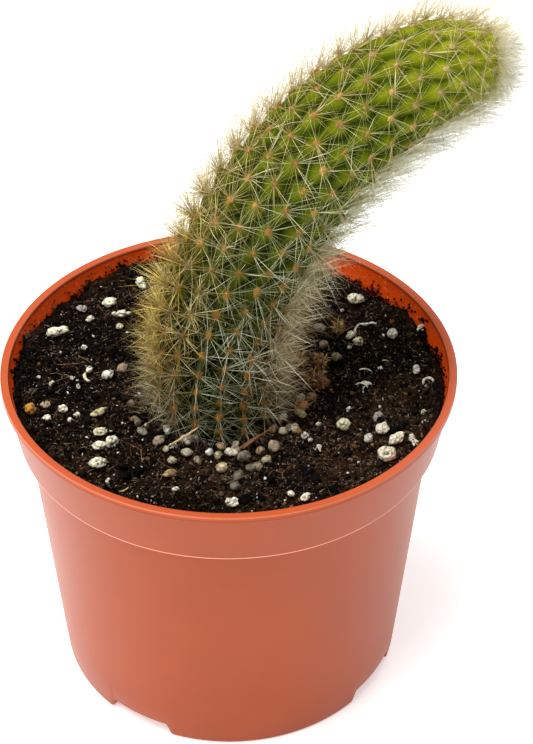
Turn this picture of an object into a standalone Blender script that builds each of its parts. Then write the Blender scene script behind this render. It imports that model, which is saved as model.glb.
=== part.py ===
# Potted monkey tail cactus: one ribbed, spiny stem that arches out of a round nursery pot
# filled with peat, perlite and small gravel. Metres, +Z up. z = 0 is the surface that the
# pot stands on, and the origin lies under the middle of the whole plant's box.

import math
import random

import bmesh
import bpy
import numpy as np
from mathutils import Matrix, Vector, noise
from mathutils.bvhtree import BVHTree

MM = 0.001
GAP = 0.3 * MM

# The pot's axis stands left of the origin, because the stem arches out to the right.
POT_X = -4.9 * MM
POT_Y = 0.0 * MM

# Pot: the usual 9 cm round one, with a collar, a lip and a raised floor.
POT_SIDES = 48
RIM_RADIUS = 45.0 * MM
POT_HEIGHT = 72.0 * MM
RIM_WIDTH = 1.9 * MM
LIP_HEIGHT = 1.6 * MM
EDGE_ROUND = 0.35 * MM
COLLAR_TOP_RADIUS = 44.2 * MM
COLLAR_FOOT_RADIUS = 42.4 * MM
COLLAR_FOOT_Z = 59.1 * MM
BODY_TOP_RADIUS = 40.5 * MM
BASE_RADIUS = 35.6 * MM
WALL = 1.2 * MM
SHOULDER_Z = COLLAR_FOOT_Z + WALL
FLOOR_UNDER_Z = 3.2 * MM
FLOOR_TOP_Z = 4.6 * MM
FOOT_WIDTH = 2.2 * MM
NOTCH_HEIGHT = 2.9 * MM
NOTCH_ANGLE = math.radians(22.5)
NOTCH_SLANT = math.radians(2.5)
NOTCH_TURN = math.radians(-122.5)
DRAIN_RADIUS = 3.5 * MM
DRAIN_RING = 22.0 * MM
DRAIN_HOLES = 6
DRAIN_SIDES = 12

# Soil: dished round the stem and banked up against the wall, with clumps.
SOIL_SIDES = 48
SOIL_RINGS = 10
SOIL_FOOT_Z = 62.8 * MM
SOIL_BANK = 3.2 * MM
SOIL_BACK_BANK = 1.0 * MM
DISH_RADIUS = 14.0 * MM
BANK_WIDTH = 22.0 * MM
CLUMP_SIZE = 6.5 * MM
CLUMP_HEIGHT = 1.3 * MM
CRUMB_SHARE = 0.5
CRUMB_FINENESS = 2.1
BACK_WIDTH = 36.0 * MM
CALM_RADIUS = 13.0 * MM
CALM_WIDTH = 6.0 * MM

# Stem: where it leaves the soil, the upright plane that it bends in, and its length.
STEM_X = -1.9 * MM
STEM_Y = 0.0 * MM
STEM_Z = 61.5 * MM
STEM_PLANE = math.radians(9.0)
STEM_LENGTH = 101.3 * MM
START_LEAN = math.radians(-7.4)
# Degrees of bend for each millimetre of stem, and the stem's radius over its areoles in
# millimetres, each at even steps from the soil to the tip.
BEND_PER_MM = (0.75, 0.94, 0.57, 0.97, 2.2)
STEM_RADII = (12.5, 12.35, 12.2, 11.3, 9.2)
DOME_LENGTH = 14.0 * MM
ROOT_DEPTH = 14.0 * MM
ROOT_RADIUS = 11.6 * MM
ROOT_TAPER = 0.72
ROOT_TAPER_DEPTH = 3.0 * MM
HOLE_RADIUS = 13.3 * MM
HOLE_DEPTH = 15.5 * MM

# Ribs: 16, with the areoles of neighbouring ribs half a step apart. The step between
# areoles on one rib is given in millimetres against the distance along the stem.
RIBS = 16
ROOT_RINGS = 2
RIB_TURN = math.radians(-53.0)
RIB_TWIST = math.radians(23.6)
STEP_PLACES = (0.0, 22.0, 52.0, 82.0, 106.0)
STEP_SIZES = (3.1, 4.6, 5.0, 4.8, 2.8)
FIRST_ROW = 0.2 * MM
GROOVE_DEPTH = 1.4 * MM
SADDLE_DEPTH = 0.7 * MM
RIDGE_FADE = 3.0 * MM
RIDGE_AT_FOOT = 0.4

# Spines: a few stout ones stand in for each areole's many, at their true length.
SPINE_SEED = 7
SPINE_START = 2.6 * MM
SPINE_RADIUS = 0.27 * MM
SPINE_SINK = 0.9 * MM
SPINE_SPREAD = 0.95 * MM
SPINE_TILT = (math.radians(20.0), math.radians(55.0))
THIRD_SPINE_EVERY = 5
FOOT_SPINE = 8.0 * MM
TIP_SPINE = 5.0 * MM
SHORTEST_SHARE = 0.7
HAIR_EXTRA = 5.5 * MM
HAIR_SHORTEST_SHARE = 0.4
HAIR_START = 50.0 * MM
TUFT_SPINES = 22
TUFT_SPINE = 5.0 * MM
TUFT_TURN = math.radians(137.5)
TUFT_DEPTH = 0.25 * DOME_LENGTH
TUFT_SPREAD = 0.8

# Spines that would end near the soil are turned up and shortened.
LOW_BAND = 9.0 * MM
LOW_LIFT = 0.6
LOW_LENGTH_SHARE = 0.85

# Grains on the soil, in millimetres and degrees: place from the pot's axis, length, width, turn.
GRAIN_SEED = 11
GRAIN_CORNERS = 22
GRAIN_HEIGHT = 0.8
GRAIN_TILT = 0.2
GRAIN_REGAIN = 0.7
CORNER_SHIFT = 0.3
PERLITE_ROUNDNESS = 0.78
PEBBLE_ROUNDNESS = 0.94
LUMP_ROUNDNESS = 0.82
PERLITE = (
    (-35.3, 16.2, 5.6, 2.3, 25), (-25.0, 25.4, 3.7, 2.3, 15), (-30.5, 23.9, 2.5, 1.7, 0),
    (-29.0, 20.9, 2.0, 1.5, 45), (-22.0, 21.9, 3.5, 1.8, 0), (-22.5, 18.4, 2.2, 1.6, 85),
    (-18.5, 31.9, 5.0, 2.2, -70), (-24.5, 4.4, 3.7, 2.5, 50), (-28.2, 5.4, 2.0, 1.5, 30),
    (-32.5, -8.1, 2.5, 1.9, -55), (-36.0, -6.4, 2.2, 1.7, 30), (-35.5, -11.1, 2.4, 1.8, 30),
    (-25.5, -7.6, 3.7, 1.6, 35), (-25.0, -14.1, 3.6, 2.1, 10), (-25.0, -19.1, 3.6, 2.1, 25),
    (-25.0, -24.1, 3.1, 2.7, 0), (26.0, 25.4, 4.1, 2.8, 0), (25.0, 15.4, 3.0, 1.8, 45),
    (26.3, 12.8, 2.2, 2.0, 0), (33.5, 14.9, 2.8, 2.3, 85), (38.0, 12.4, 2.1, 1.8, 70),
    (37.5, 2.9, 2.6, 2.0, 85), (22.0, -12.1, 2.9, 2.8, 0), (29.5, -14.9, 3.8, 2.8, 70),
    (32.2, -17.8, 4.0, 2.7, 35), (26.7, -17.3, 2.1, 1.9, 0), (30.0, -23.1, 3.8, 3.6, 0),
    (35.5, -19.1, 1.8, 1.5, 60), (27.5, 0.9, 2.6, 1.3, -25), (11.3, -33.1, 1.8, 1.6, 0),
    (14.2, -34.1, 2.4, 1.8, 45), (0.5, -35.1, 2.6, 2.2, 0),
)
GRAVEL = (
    (-11.0, -20.6, 2.2, 1.8, 0), (-17.0, -11.6, 2.6, 1.8, -30), (-8.3, -17.9, 2.9, 2.2, 0),
    (-4.0, -18.4, 2.1, 2.0, 0), (0.3, -18.5, 3.5, 2.1, -15), (-1.5, -23.6, 2.9, 2.8, 0),
    (-11.5, -26.6, 3.6, 1.9, 25), (1.0, -31.1, 2.6, 2.2, 0), (4.0, -23.6, 2.6, 2.2, 0),
    (8.5, -17.4, 3.6, 2.9, -70), (1.2, -15.2, 2.4, 1.7, 75), (10.4, -11.4, 2.2, 1.9, 0),
    (14.2, -1.6, 2.7, 2.1, 75), (14.0, -6.8, 3.3, 2.4, -35), (18.8, 18.2, 3.6, 2.2, -25),
    (21.8, 9.6, 2.9, 2.6, 0), (-12.3, -17.6, 2.0, 1.6, 85),
)
BARK = (17.6, 2.6, 5.4, 5.0, 20)
CLOD = (18.3, 8.3, 3.8, 2.2, -30)
HUSK = (22.4, 17.3, 3.0, 1.6, 80)
BEAD = (-38.9, -8.8, 3.2, 3.2, 0)
BARK_HEIGHT = 0.6
BEAD_HEIGHT = 1.0
BEAD_ROUNDNESS = 0.98

# Two bits of stalk by the stem's foot: places in millimetres from the pot's axis and above the soil.
STALK_SIDES = 6
STRAW = ((-11.6, -15.6, 0.8), (-9.2, -16.0, 2.0), (-6.4, -15.6, 3.0))
STRAW_RADIUS = 0.28 * MM
TWIG = ((2.9, -16.4, 0.9), (4.6, -15.2, 1.4), (6.4, -14.3, 1.6))
TWIG_RADIUS = 0.42 * MM


def smooth_step(value):
    """Rises from 0 to 1 with level ends."""
    value = min(max(value, 0.0), 1.0)
    return value * value * (3.0 - 2.0 * value)


def make_material(name, colour, roughness):
    """A plain non-metal finish."""
    material = bpy.data.materials.new(name)
    material.use_nodes = True
    shader = material.node_tree.nodes["Principled BSDF"]
    shader.inputs["Base Color"].default_value = (*colour, 1.0)
    shader.inputs["Roughness"].default_value = roughness
    shader.inputs["Metallic"].default_value = 0.0
    material.diffuse_color = (*colour, 1.0)
    return material


def add_object(name, mesh_builder, material, smooth_angle=35.0):
    """Turns a bmesh into a named object whose faces point outwards."""
    bmesh.ops.recalc_face_normals(mesh_builder, faces=mesh_builder.faces)
    mesh = bpy.data.meshes.new(name)
    mesh_builder.to_mesh(mesh)
    mesh_builder.free()
    if material:
        mesh.materials.append(material)
    mesh.shade_smooth()
    mesh.set_sharp_from_angle(angle=math.radians(smooth_angle))
    thing = bpy.data.objects.new(name, mesh)
    bpy.context.collection.objects.link(thing)
    return thing


def skin_rings(rings, first_centre, last_centre):
    """Joins rings of points with triangles, and closes both ends to a centre point."""
    builder = bmesh.new()
    loops = [[builder.verts.new(point) for point in ring] for ring in rings]
    for lower, upper in zip(loops, loops[1:]):
        count = len(lower)
        for side in range(count):
            after = (side + 1) % count
            builder.faces.new((lower[side], lower[after], upper[after]))
            builder.faces.new((lower[side], upper[after], upper[side]))
    for ring, centre, step in ((loops[0], first_centre, -1), (loops[-1], last_centre, 1)):
        hub = builder.verts.new(centre)
        for side in range(len(ring)):
            builder.faces.new((ring[side], ring[(side + step) % len(ring)], hub))
    return builder


def inner_wall_radius(z):
    """Radius of the pot's inner wall below its shoulder."""
    rise = (z - FLOOR_TOP_Z) / (SHOULDER_Z - FLOOR_TOP_Z)
    low = BASE_RADIUS - WALL
    return low + (BODY_TOP_RADIUS - WALL - low) * rise


def collar_wall_radius(z):
    """Radius of the pot's inner wall above its shoulder."""
    low = COLLAR_FOOT_RADIUS - WALL
    rise = (z - SHOULDER_Z - WALL) / (POT_HEIGHT - EDGE_ROUND - SHOULDER_Z - WALL)
    return low + (RIM_RADIUS - RIM_WIDTH - low) * rise


def pot_profile():
    """The pot's half section, from the drain hole outwards, up the outside and back in."""
    rim_in = RIM_RADIUS - RIM_WIDTH
    lip_z = POT_HEIGHT - LIP_HEIGHT
    foot_in = BASE_RADIUS - FOOT_WIDTH
    return [
        (DRAIN_RADIUS, FLOOR_UNDER_Z),
        (foot_in - EDGE_ROUND, FLOOR_UNDER_Z),
        (foot_in, FLOOR_UNDER_Z - EDGE_ROUND),
        (foot_in, EDGE_ROUND),
        (foot_in + EDGE_ROUND, 0.0),
        (BASE_RADIUS - 2 * EDGE_ROUND, 0.0),
        (BASE_RADIUS, 2 * EDGE_ROUND),
        (BODY_TOP_RADIUS, COLLAR_FOOT_Z),
        (COLLAR_FOOT_RADIUS - EDGE_ROUND, COLLAR_FOOT_Z),
        (COLLAR_FOOT_RADIUS, COLLAR_FOOT_Z + EDGE_ROUND),
        (COLLAR_TOP_RADIUS, lip_z),
        (RIM_RADIUS - EDGE_ROUND, lip_z),
        (RIM_RADIUS, lip_z + EDGE_ROUND),
        (RIM_RADIUS, POT_HEIGHT - EDGE_ROUND),
        (RIM_RADIUS - EDGE_ROUND, POT_HEIGHT),
        (rim_in + EDGE_ROUND, POT_HEIGHT),
        (rim_in, POT_HEIGHT - EDGE_ROUND),
        (COLLAR_FOOT_RADIUS - WALL, SHOULDER_Z + WALL),
        (BODY_TOP_RADIUS - WALL, SHOULDER_Z),
        (BASE_RADIUS - WALL, FLOOR_TOP_Z),
        (DRAIN_RADIUS, FLOOR_TOP_Z),
    ]


def make_cutter(name, builder):
    """A hidden wire shape that a Boolean takes away."""
    cutter = add_object(name, builder, None)
    cutter.display_type = "WIRE"
    cutter.hide_render = True
    return cutter


def notch_cutter():
    """Four wedges with slanted ends that cut the foot ring."""
    builder = bmesh.new()
    inner = BASE_RADIUS - FOOT_WIDTH - 2 * MM
    outer = BASE_RADIUS + 2 * MM
    spans = ((-1 * MM, NOTCH_ANGLE / 2 + NOTCH_SLANT), (NOTCH_HEIGHT, NOTCH_ANGLE / 2 - NOTCH_SLANT))
    for quarter in range(4):
        middle = NOTCH_TURN + quarter * math.pi / 2
        corners = []
        for z, half in spans:
            for radius, steps in ((inner, (-1, 0, 1)), (outer, (1, 0, -1))):
                for step in steps:
                    angle = middle + step * half
                    corners.append(builder.verts.new((
                        POT_X + radius * math.cos(angle), POT_Y + radius * math.sin(angle), z)))
        low, high = corners[:6], corners[6:]
        builder.faces.new(low)
        builder.faces.new(high)
        for side in range(6):
            after = (side + 1) % 6
            builder.faces.new((low[side], low[after], high[after], high[side]))
    return make_cutter("notch_cutter", builder)


def drain_cutter():
    """A ring of round holes through the floor."""
    builder = bmesh.new()
    for hole in range(DRAIN_HOLES):
        angle = 2 * math.pi * hole / DRAIN_HOLES
        centre = Vector((POT_X + DRAIN_RING * math.cos(angle), POT_Y + DRAIN_RING * math.sin(angle),
                         (FLOOR_UNDER_Z + FLOOR_TOP_Z) / 2))
        bmesh.ops.create_cone(builder, cap_ends=True, segments=DRAIN_SIDES, radius1=DRAIN_RADIUS,
                              radius2=DRAIN_RADIUS, depth=6 * MM, matrix=Matrix.Translation(centre))
    return make_cutter("drain_cutter", builder)


def build_pot(material):
    """The moulded pot: its profile spun round the axis, then notched and drained."""
    builder = bmesh.new()
    points = [builder.verts.new((POT_X + radius, POT_Y, z)) for radius, z in pot_profile()]
    edges = [builder.edges.new((points[i], points[(i + 1) % len(points)])) for i in range(len(points))]
    bmesh.ops.spin(builder, geom=points + edges, cent=(POT_X, POT_Y, 0.0), axis=(0, 0, 1),
                   angle=2 * math.pi, steps=POT_SIDES, use_merge=True)
    pot = add_object("pot", builder, material)
    for label, cutter in (("Foot notches", notch_cutter()), ("Drain holes", drain_cutter())):
        cut = pot.modifiers.new(label, "BOOLEAN")
        cut.operation = "DIFFERENCE"
        cut.solver = "EXACT"
        cut.object = cutter
    return pot


def soil_height(x, y):
    """Height of the soil at a place given from the pot's axis."""
    reach = math.hypot(x, y)
    bank = smooth_step((reach - DISH_RADIUS) / BANK_WIDTH)
    back = smooth_step(y / BACK_WIDTH)
    clump = noise.noise(Vector((x, y, 0.0)) / CLUMP_SIZE)
    clump += CRUMB_SHARE * noise.noise(Vector((y, x, CLUMP_SIZE)) * CRUMB_FINENESS / CLUMP_SIZE)
    calm = smooth_step((reach - CALM_RADIUS) / CALM_WIDTH)
    return SOIL_FOOT_Z + bank * (SOIL_BANK + back * SOIL_BACK_BANK) + CLUMP_HEIGHT * clump * calm


def soil_ring(radius, share, z=None):
    """One ring of the soil. share moves its middle from the stem's hole to the pot's axis."""
    ring = []
    for side in range(SOIL_SIDES):
        angle = 2 * math.pi * side / SOIL_SIDES
        x = STEM_X * (1 - share) + radius * math.cos(angle)
        y = STEM_Y * (1 - share) + radius * math.sin(angle)
        height = soil_height(x, y) if z is None else z
        if z is None and share == 1.0:
            widen = (collar_wall_radius(height) - GAP) / radius
            x *= widen
            y *= widen
        ring.append((POT_X + x, POT_Y + y, height))
    return ring


def build_soil(material):
    """Fills the pot, with a plain blind hole where the stem stands."""
    hole_z = STEM_Z - HOLE_DEPTH
    edge = COLLAR_FOOT_RADIUS - WALL
    edge_in = edge - GAP
    rings = [soil_ring(HOLE_RADIUS, 0.0, hole_z)]
    for step in range(SOIL_RINGS + 1):
        share = step / SOIL_RINGS
        rings.append(soil_ring(HOLE_RADIUS + (edge_in - HOLE_RADIUS) * share, share))
    shoulder = SHOULDER_Z + GAP + 0.1 * MM
    below = inner_wall_radius(SHOULDER_Z) - GAP
    floor = FLOOR_TOP_Z + GAP
    rings.append(soil_ring(edge_in, 1.0, SHOULDER_Z + WALL + GAP))
    rings.append(soil_ring(below, 1.0, shoulder))
    rings.append(soil_ring(inner_wall_radius(floor) - GAP, 1.0, floor))
    first = (POT_X + STEM_X, POT_Y + STEM_Y, hole_z)
    last = (POT_X, POT_Y, floor)
    return add_object("soil", skin_rings(rings, first, last), material, 60.0)


class Stem:
    """The arching stem: its centreline, its radius, and places on its surface."""

    def __init__(self):
        self.along = np.linspace(0.0, STEM_LENGTH, 400)
        stations = np.linspace(0.0, STEM_LENGTH, len(BEND_PER_MM))
        bend = np.radians(np.interp(self.along, stations, BEND_PER_MM)) / MM
        gaps = np.diff(self.along)
        self.lean = START_LEAN + self.running_sum(bend, gaps)
        self.reach = self.running_sum(np.sin(self.lean), gaps)
        self.rise = self.running_sum(np.cos(self.lean), gaps)
        radii = np.interp(self.along, np.linspace(0.0, STEM_LENGTH, len(STEM_RADII)), STEM_RADII)
        into_dome = np.clip((self.along - STEM_LENGTH + DOME_LENGTH) / DOME_LENGTH, 0.0, 1.0)
        self.radii = radii * MM * np.sqrt(1.0 - into_dome ** 2)
        self.skin = self.running_sum(None, np.hypot(gaps, np.diff(self.radii)))

    @staticmethod
    def running_sum(values, gaps):
        """Trapezoid sum from the soil upwards, or the sum of the gaps alone."""
        middle = 1.0 if values is None else (values[1:] + values[:-1]) / 2
        return np.concatenate([[0.0], np.cumsum(middle * gaps)])

    def frame(self, along):
        """Centre, direction, side that faces the front, and side that the stem bends to."""
        lean = float(np.interp(along, self.along, self.lean))
        reach = float(np.interp(along, self.along, self.reach))
        rise = float(np.interp(along, self.along, self.rise)) + min(along, 0.0)
        out = Vector((math.cos(STEM_PLANE), math.sin(STEM_PLANE), 0.0))
        up = Vector((0.0, 0.0, 1.0))
        centre = Vector((POT_X + STEM_X, POT_Y + STEM_Y, STEM_Z)) + out * reach + up * rise
        direction = out * math.sin(lean) + up * math.cos(lean)
        front = Vector((math.sin(STEM_PLANE), -math.cos(STEM_PLANE), 0.0))
        return centre, direction, front, front.cross(direction) * -1.0

    def ray(self, along, angle):
        """Outward direction at an angle round the stem, ribs' twist included."""
        _, _, front, inside = self.frame(along)
        turned = angle + RIB_TURN + RIB_TWIST * along / (100 * MM)
        return front * math.cos(turned) + inside * math.sin(turned)

    def point(self, along, angle, sink=0.0):
        """A place on the surface, sunk below the areoles' radius by sink."""
        radius = float(np.interp(along, self.along, self.radii)) - sink
        return self.frame(along)[0] + self.ray(along, angle) * radius

    def outward(self, along, angle):
        """The surface's normal, which turns towards the tip on the dome."""
        near = self.point(max(along - 0.4 * MM, 0.0), angle)
        far = self.point(min(along + 0.4 * MM, STEM_LENGTH - 0.02 * MM), angle)
        slope = (far - near).normalized()
        ray = self.ray(along, angle)
        return (ray - slope * ray.dot(slope)).normalized()

    def rows(self):
        """Distances along the stem of the half steps between areoles, up to the dome's top."""
        places = []
        skin = FIRST_ROW
        while skin < self.skin[-1] - 1.6 * MM:
            places.append(float(np.interp(skin, self.skin, self.along)))
            skin += 0.5 * float(np.interp(skin / MM, STEP_PLACES, STEP_SIZES)) * MM
        return places


def build_stem(stem, rows):
    """Ribs are rings with two points a rib. Its crest is high at each areole, and grooves are low."""
    columns = 2 * RIBS
    rings = []
    foot_rings = ((ROOT_DEPTH, ROOT_TAPER * ROOT_RADIUS), (ROOT_DEPTH - ROOT_TAPER_DEPTH, ROOT_RADIUS))
    for depth, radius in foot_rings:
        centre = stem.frame(0.0)[0] - Vector((0.0, 0.0, depth))
        turns = [math.pi * column / RIBS for column in range(columns)]
        rings.append([centre + stem.ray(0.0, turn) * radius for turn in turns])
    for row, along in enumerate(rows):
        relief = smooth_step(along / RIDGE_FADE + RIDGE_AT_FOOT)
        relief *= float(np.interp(along, stem.along, stem.radii)) / (STEM_RADII[0] * MM)
        ring = []
        for column in range(columns):
            rib, in_groove = divmod(column, 2)
            if in_groove:
                sink = GROOVE_DEPTH
            else:
                sink = SADDLE_DEPTH if (row + rib) % 2 else 0.0
            ring.append(stem.point(along, math.pi * column / RIBS, sink * relief))
        rings.append(ring)
    tip = stem.frame(STEM_LENGTH)[0]
    root = stem.frame(0.0)[0] - Vector((0.0, 0.0, ROOT_DEPTH))
    return skin_rings(rings, root, tip)


def add_spine(collection, root, direction, length):
    """One three-sided spine, as an object of its own for the union."""
    builder = bmesh.new()
    side = direction.orthogonal().normalized()
    other = direction.cross(side)
    foot = root - direction * SPINE_SINK
    corners = []
    for corner in range(3):
        angle = 2 * math.pi * corner / 3
        offset = side * math.cos(angle) + other * math.sin(angle)
        corners.append(builder.verts.new(foot + offset * SPINE_RADIUS))
    tip = builder.verts.new(root + direction * length)
    builder.faces.new(corners)
    for corner in range(3):
        builder.faces.new((corners[corner], tip, corners[(corner + 1) % 3]))
    bmesh.ops.recalc_face_normals(builder, faces=builder.faces)
    mesh = bpy.data.meshes.new("spine")
    builder.to_mesh(mesh)
    builder.free()
    collection.objects.link(bpy.data.objects.new("spine", mesh))


def faces_round(corner, outward, across):
    """Directions from a corner into the middle of each face round it, in order of angle."""
    upward = outward.cross(across)
    middles = []
    for face in corner.link_faces:
        sides = [(other.co - corner.co).normalized() for other in face.verts if other is not corner]
        middles.append((sides[0] + sides[1]).normalized())
    return sorted(middles, key=lambda way: math.atan2(way.dot(upward), way.dot(across)))


def add_spines(stem, rows, body, collection):
    """Two or three spines at each areole, longer as hair under the arch, and a tuft at the tip."""
    draw = random.Random(SPINE_SEED)
    body.verts.ensure_lookup_table()
    for row, along in enumerate(rows):
        for rib in range(RIBS):
            if (row + rib) % 2 or along < SPINE_START:
                continue
            angle = 2 * math.pi * rib / RIBS
            corner = body.verts[(row + ROOT_RINGS) * 2 * RIBS + 2 * rib]
            outward = stem.outward(along, angle)
            across = stem.frame(along)[1].cross(outward).normalized()
            under = smooth_step(-outward.z) * smooth_step(along / HAIR_START)
            ways = faces_round(corner, outward, across)
            count = 3 if (row // 2 + rib) % THIRD_SPINE_EVERY == 0 else 2
            first = draw.randrange(len(ways))
            for spine in range(count):
                way = ways[(first + spine * len(ways) // count) % len(ways)]
                tilt = draw.uniform(*SPINE_TILT)
                flat = (way - outward * way.dot(outward)).normalized()
                heading = outward * math.cos(tilt) + flat * math.sin(tilt)
                usual = FOOT_SPINE + (TIP_SPINE - FOOT_SPINE) * along / STEM_LENGTH
                length = draw.uniform(SHORTEST_SHARE, 1.0) * usual
                length += under * HAIR_EXTRA * draw.uniform(HAIR_SHORTEST_SHARE, 1.0)
                if corner.co.z + heading.z * length < SOIL_FOOT_Z + LOW_BAND:
                    heading.z = abs(heading.z) + LOW_LIFT
                    heading.normalize()
                    length *= LOW_LENGTH_SHARE
                add_spine(collection, corner.co + way * SPINE_SPREAD, heading, length)
    for spine in range(TUFT_SPINES):
        around = spine * TUFT_TURN
        spread = math.sqrt((spine + 0.5) / TUFT_SPINES)
        along = STEM_LENGTH - TUFT_DEPTH * spread ** 2
        heading = stem.frame(STEM_LENGTH)[1] + stem.ray(along, around) * spread * TUFT_SPREAD
        length = draw.uniform(SHORTEST_SHARE, 1.0) * TUFT_SPINE
        add_spine(collection, stem.point(along, around), heading.normalized(), length)


def build_cactus(material):
    """Stem and spines, joined to one body by one union."""
    stem = Stem()
    rows = stem.rows()
    body = build_stem(stem, rows)
    spines = bpy.data.collections.new("spines")
    bpy.context.scene.collection.children.link(spines)
    add_spines(stem, rows, body, spines)
    cactus = add_object("cactus", body, material, 60.0)
    join = cactus.modifiers.new("Spines", "BOOLEAN")
    join.operation = "UNION"
    join.operand_type = "COLLECTION"
    join.solver = "MANIFOLD"
    join.collection = spines
    depsgraph = bpy.context.evaluated_depsgraph_get()
    joined = bpy.data.meshes.new_from_object(cactus.evaluated_get(depsgraph))
    cactus.modifiers.clear()
    cactus.data = joined
    for spine in list(spines.objects):
        bpy.data.objects.remove(spine)
    bpy.data.collections.remove(spines)
    return cactus


def add_grain(name, place, draw, material, roundness, ground, height=GRAIN_HEIGHT):
    """A convex lump, dropped on the soil until the clearance is left under it."""
    x, y, length, width, turn = place
    builder = bmesh.new()
    golden = math.pi * (3.0 - math.sqrt(5.0))
    for corner in range(GRAIN_CORNERS):
        level = 1.0 - 2.0 * (corner + 0.5) / GRAIN_CORNERS
        ring = math.sqrt(1.0 - level * level)
        around = golden * corner + draw.uniform(-CORNER_SHIFT, CORNER_SHIFT)
        reach = draw.uniform(roundness, 1.0) + GRAIN_REGAIN * (1.0 - roundness)
        builder.verts.new(Vector((math.cos(around) * ring * length, math.sin(around) * ring * width,
                                  level * width * height)) * reach * 0.5 * MM)
    hull = bmesh.ops.convex_hull(builder, input=builder.verts)
    bmesh.ops.delete(builder, geom=hull["geom_interior"], context="VERTS")
    tilt = Matrix.Rotation(draw.uniform(-GRAIN_TILT, GRAIN_TILT), 4, "X")
    spin = Matrix.Rotation(math.radians(turn), 4, "Z")
    start = Matrix.Translation((POT_X + x * MM, POT_Y + y * MM, POT_HEIGHT))
    bmesh.ops.transform(builder, matrix=start @ spin @ tilt, verts=builder.verts)
    drop = drop_to_ground(builder, ground)
    bmesh.ops.translate(builder, vec=(0.0, 0.0, GAP - drop), verts=builder.verts)
    return add_object(name, builder, material, 60.0)


def drop_to_ground(builder, ground):
    """How far a lump can fall before one of its points, or of the soil's, is touched."""
    tree, soil_points = ground
    own = BVHTree.FromBMesh(builder)
    down = Vector((0.0, 0.0, -1.0))
    probes = [corner.co.copy() for corner in builder.verts]
    probes += [face.calc_center_median() for face in builder.faces]
    probes += [(edge.verts[0].co + edge.verts[1].co) / 2 for edge in builder.edges]
    falls = [tree.ray_cast(probe, down)[3] for probe in probes]
    for point in soil_points:
        fall = own.ray_cast(point, -down)[3]
        falls.append(fall)
    return min(fall for fall in falls if fall is not None)


def add_stalk(name, places, radius, material):
    """A short bent stalk with pointed ends."""
    points = []
    for x, y, lift in places:
        points.append(Vector((POT_X + x * MM, POT_Y + y * MM, soil_height(x * MM, y * MM) + lift * MM)))
    rings = []
    for index, point in enumerate(points):
        ahead = points[min(index + 1, len(points) - 1)] - points[max(index - 1, 0)]
        ahead.normalize()
        side = ahead.cross(Vector((0.0, 0.0, 1.0))).normalized()
        up = side.cross(ahead)
        turns = [2 * math.pi * corner / STALK_SIDES for corner in range(STALK_SIDES)]
        rings.append([point + (side * math.cos(turn) + up * math.sin(turn)) * radius for turn in turns])
    start = points[0] + (points[0] - points[1]).normalized() * radius
    end = points[-1] + (points[-1] - points[-2]).normalized() * radius
    return add_object(name, skin_rings(rings, start, end), material)


def add_grains(soil):
    """Perlite, gravel and the few odd bits that lie on the soil."""
    draw = random.Random(GRAIN_SEED)
    builder = bmesh.new()
    builder.from_mesh(soil.data)
    tree = BVHTree.FromBMesh(builder)
    points = [corner.co.copy() for corner in builder.verts if corner.co.z > SHOULDER_Z]
    builder.free()
    ground = (tree, points)
    white = make_material("perlite", (0.82, 0.79, 0.7), 0.9)
    stone = make_material("gravel", (0.5, 0.44, 0.34), 0.6)
    brown = make_material("bark", (0.1, 0.045, 0.02), 0.9)
    tan = make_material("dry plant", (0.45, 0.27, 0.12), 0.8)
    for index, place in enumerate(PERLITE):
        add_grain(f"perlite_{index + 1:02d}", place, draw, white, PERLITE_ROUNDNESS, ground)
    for index, place in enumerate(GRAVEL):
        add_grain(f"gravel_{index + 1:02d}", place, draw, stone, PEBBLE_ROUNDNESS, ground)
    add_grain("bark_lump", BARK, draw, brown, LUMP_ROUNDNESS, ground, BARK_HEIGHT)
    add_grain("tan_clod", CLOD, draw, tan, LUMP_ROUNDNESS, ground)
    add_grain("husk", HUSK, draw, tan, LUMP_ROUNDNESS, ground)
    bead = make_material("feed bead", (0.6, 0.3, 0.06), 0.4)
    add_grain("feed_bead", BEAD, draw, bead, BEAD_ROUNDNESS, ground, BEAD_HEIGHT)
    add_stalk("straw", STRAW, STRAW_RADIUS, tan)
    add_stalk("twig", TWIG, TWIG_RADIUS, brown)


def main():
    for thing in list(bpy.data.objects):
        bpy.data.objects.remove(thing)
    build_pot(make_material("terracotta plastic", (0.58, 0.16, 0.07), 0.5))
    soil = build_soil(make_material("peat soil", (0.02, 0.014, 0.01), 0.95))
    add_grains(soil)
    build_cactus(make_material("cactus skin", (0.12, 0.2, 0.03), 0.55))


main()
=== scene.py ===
# Potted monkey tail cactus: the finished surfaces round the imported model.
# Sizes in the dictionaries are millimetres unless a name says otherwise.
import math
from functools import partial

import bpy
import numpy as np
from mathutils import Matrix, Vector
from mathutils.bvhtree import BVHTree


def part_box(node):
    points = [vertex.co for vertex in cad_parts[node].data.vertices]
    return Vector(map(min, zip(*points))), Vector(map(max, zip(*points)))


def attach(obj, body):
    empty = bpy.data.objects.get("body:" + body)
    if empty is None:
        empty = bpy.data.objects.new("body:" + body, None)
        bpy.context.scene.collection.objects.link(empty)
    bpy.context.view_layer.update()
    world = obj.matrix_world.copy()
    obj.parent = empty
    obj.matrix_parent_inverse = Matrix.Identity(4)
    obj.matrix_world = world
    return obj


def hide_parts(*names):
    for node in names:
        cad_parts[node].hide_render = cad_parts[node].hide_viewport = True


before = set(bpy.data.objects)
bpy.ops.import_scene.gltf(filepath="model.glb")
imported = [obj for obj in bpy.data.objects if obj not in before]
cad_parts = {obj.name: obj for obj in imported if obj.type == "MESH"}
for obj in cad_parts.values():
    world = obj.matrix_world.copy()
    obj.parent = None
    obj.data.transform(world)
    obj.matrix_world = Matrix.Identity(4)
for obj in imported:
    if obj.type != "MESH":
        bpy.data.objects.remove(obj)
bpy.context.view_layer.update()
mm = 0.001
potLow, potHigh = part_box("pot")
potX = (potLow.x + potHigh.x) / 2
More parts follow.
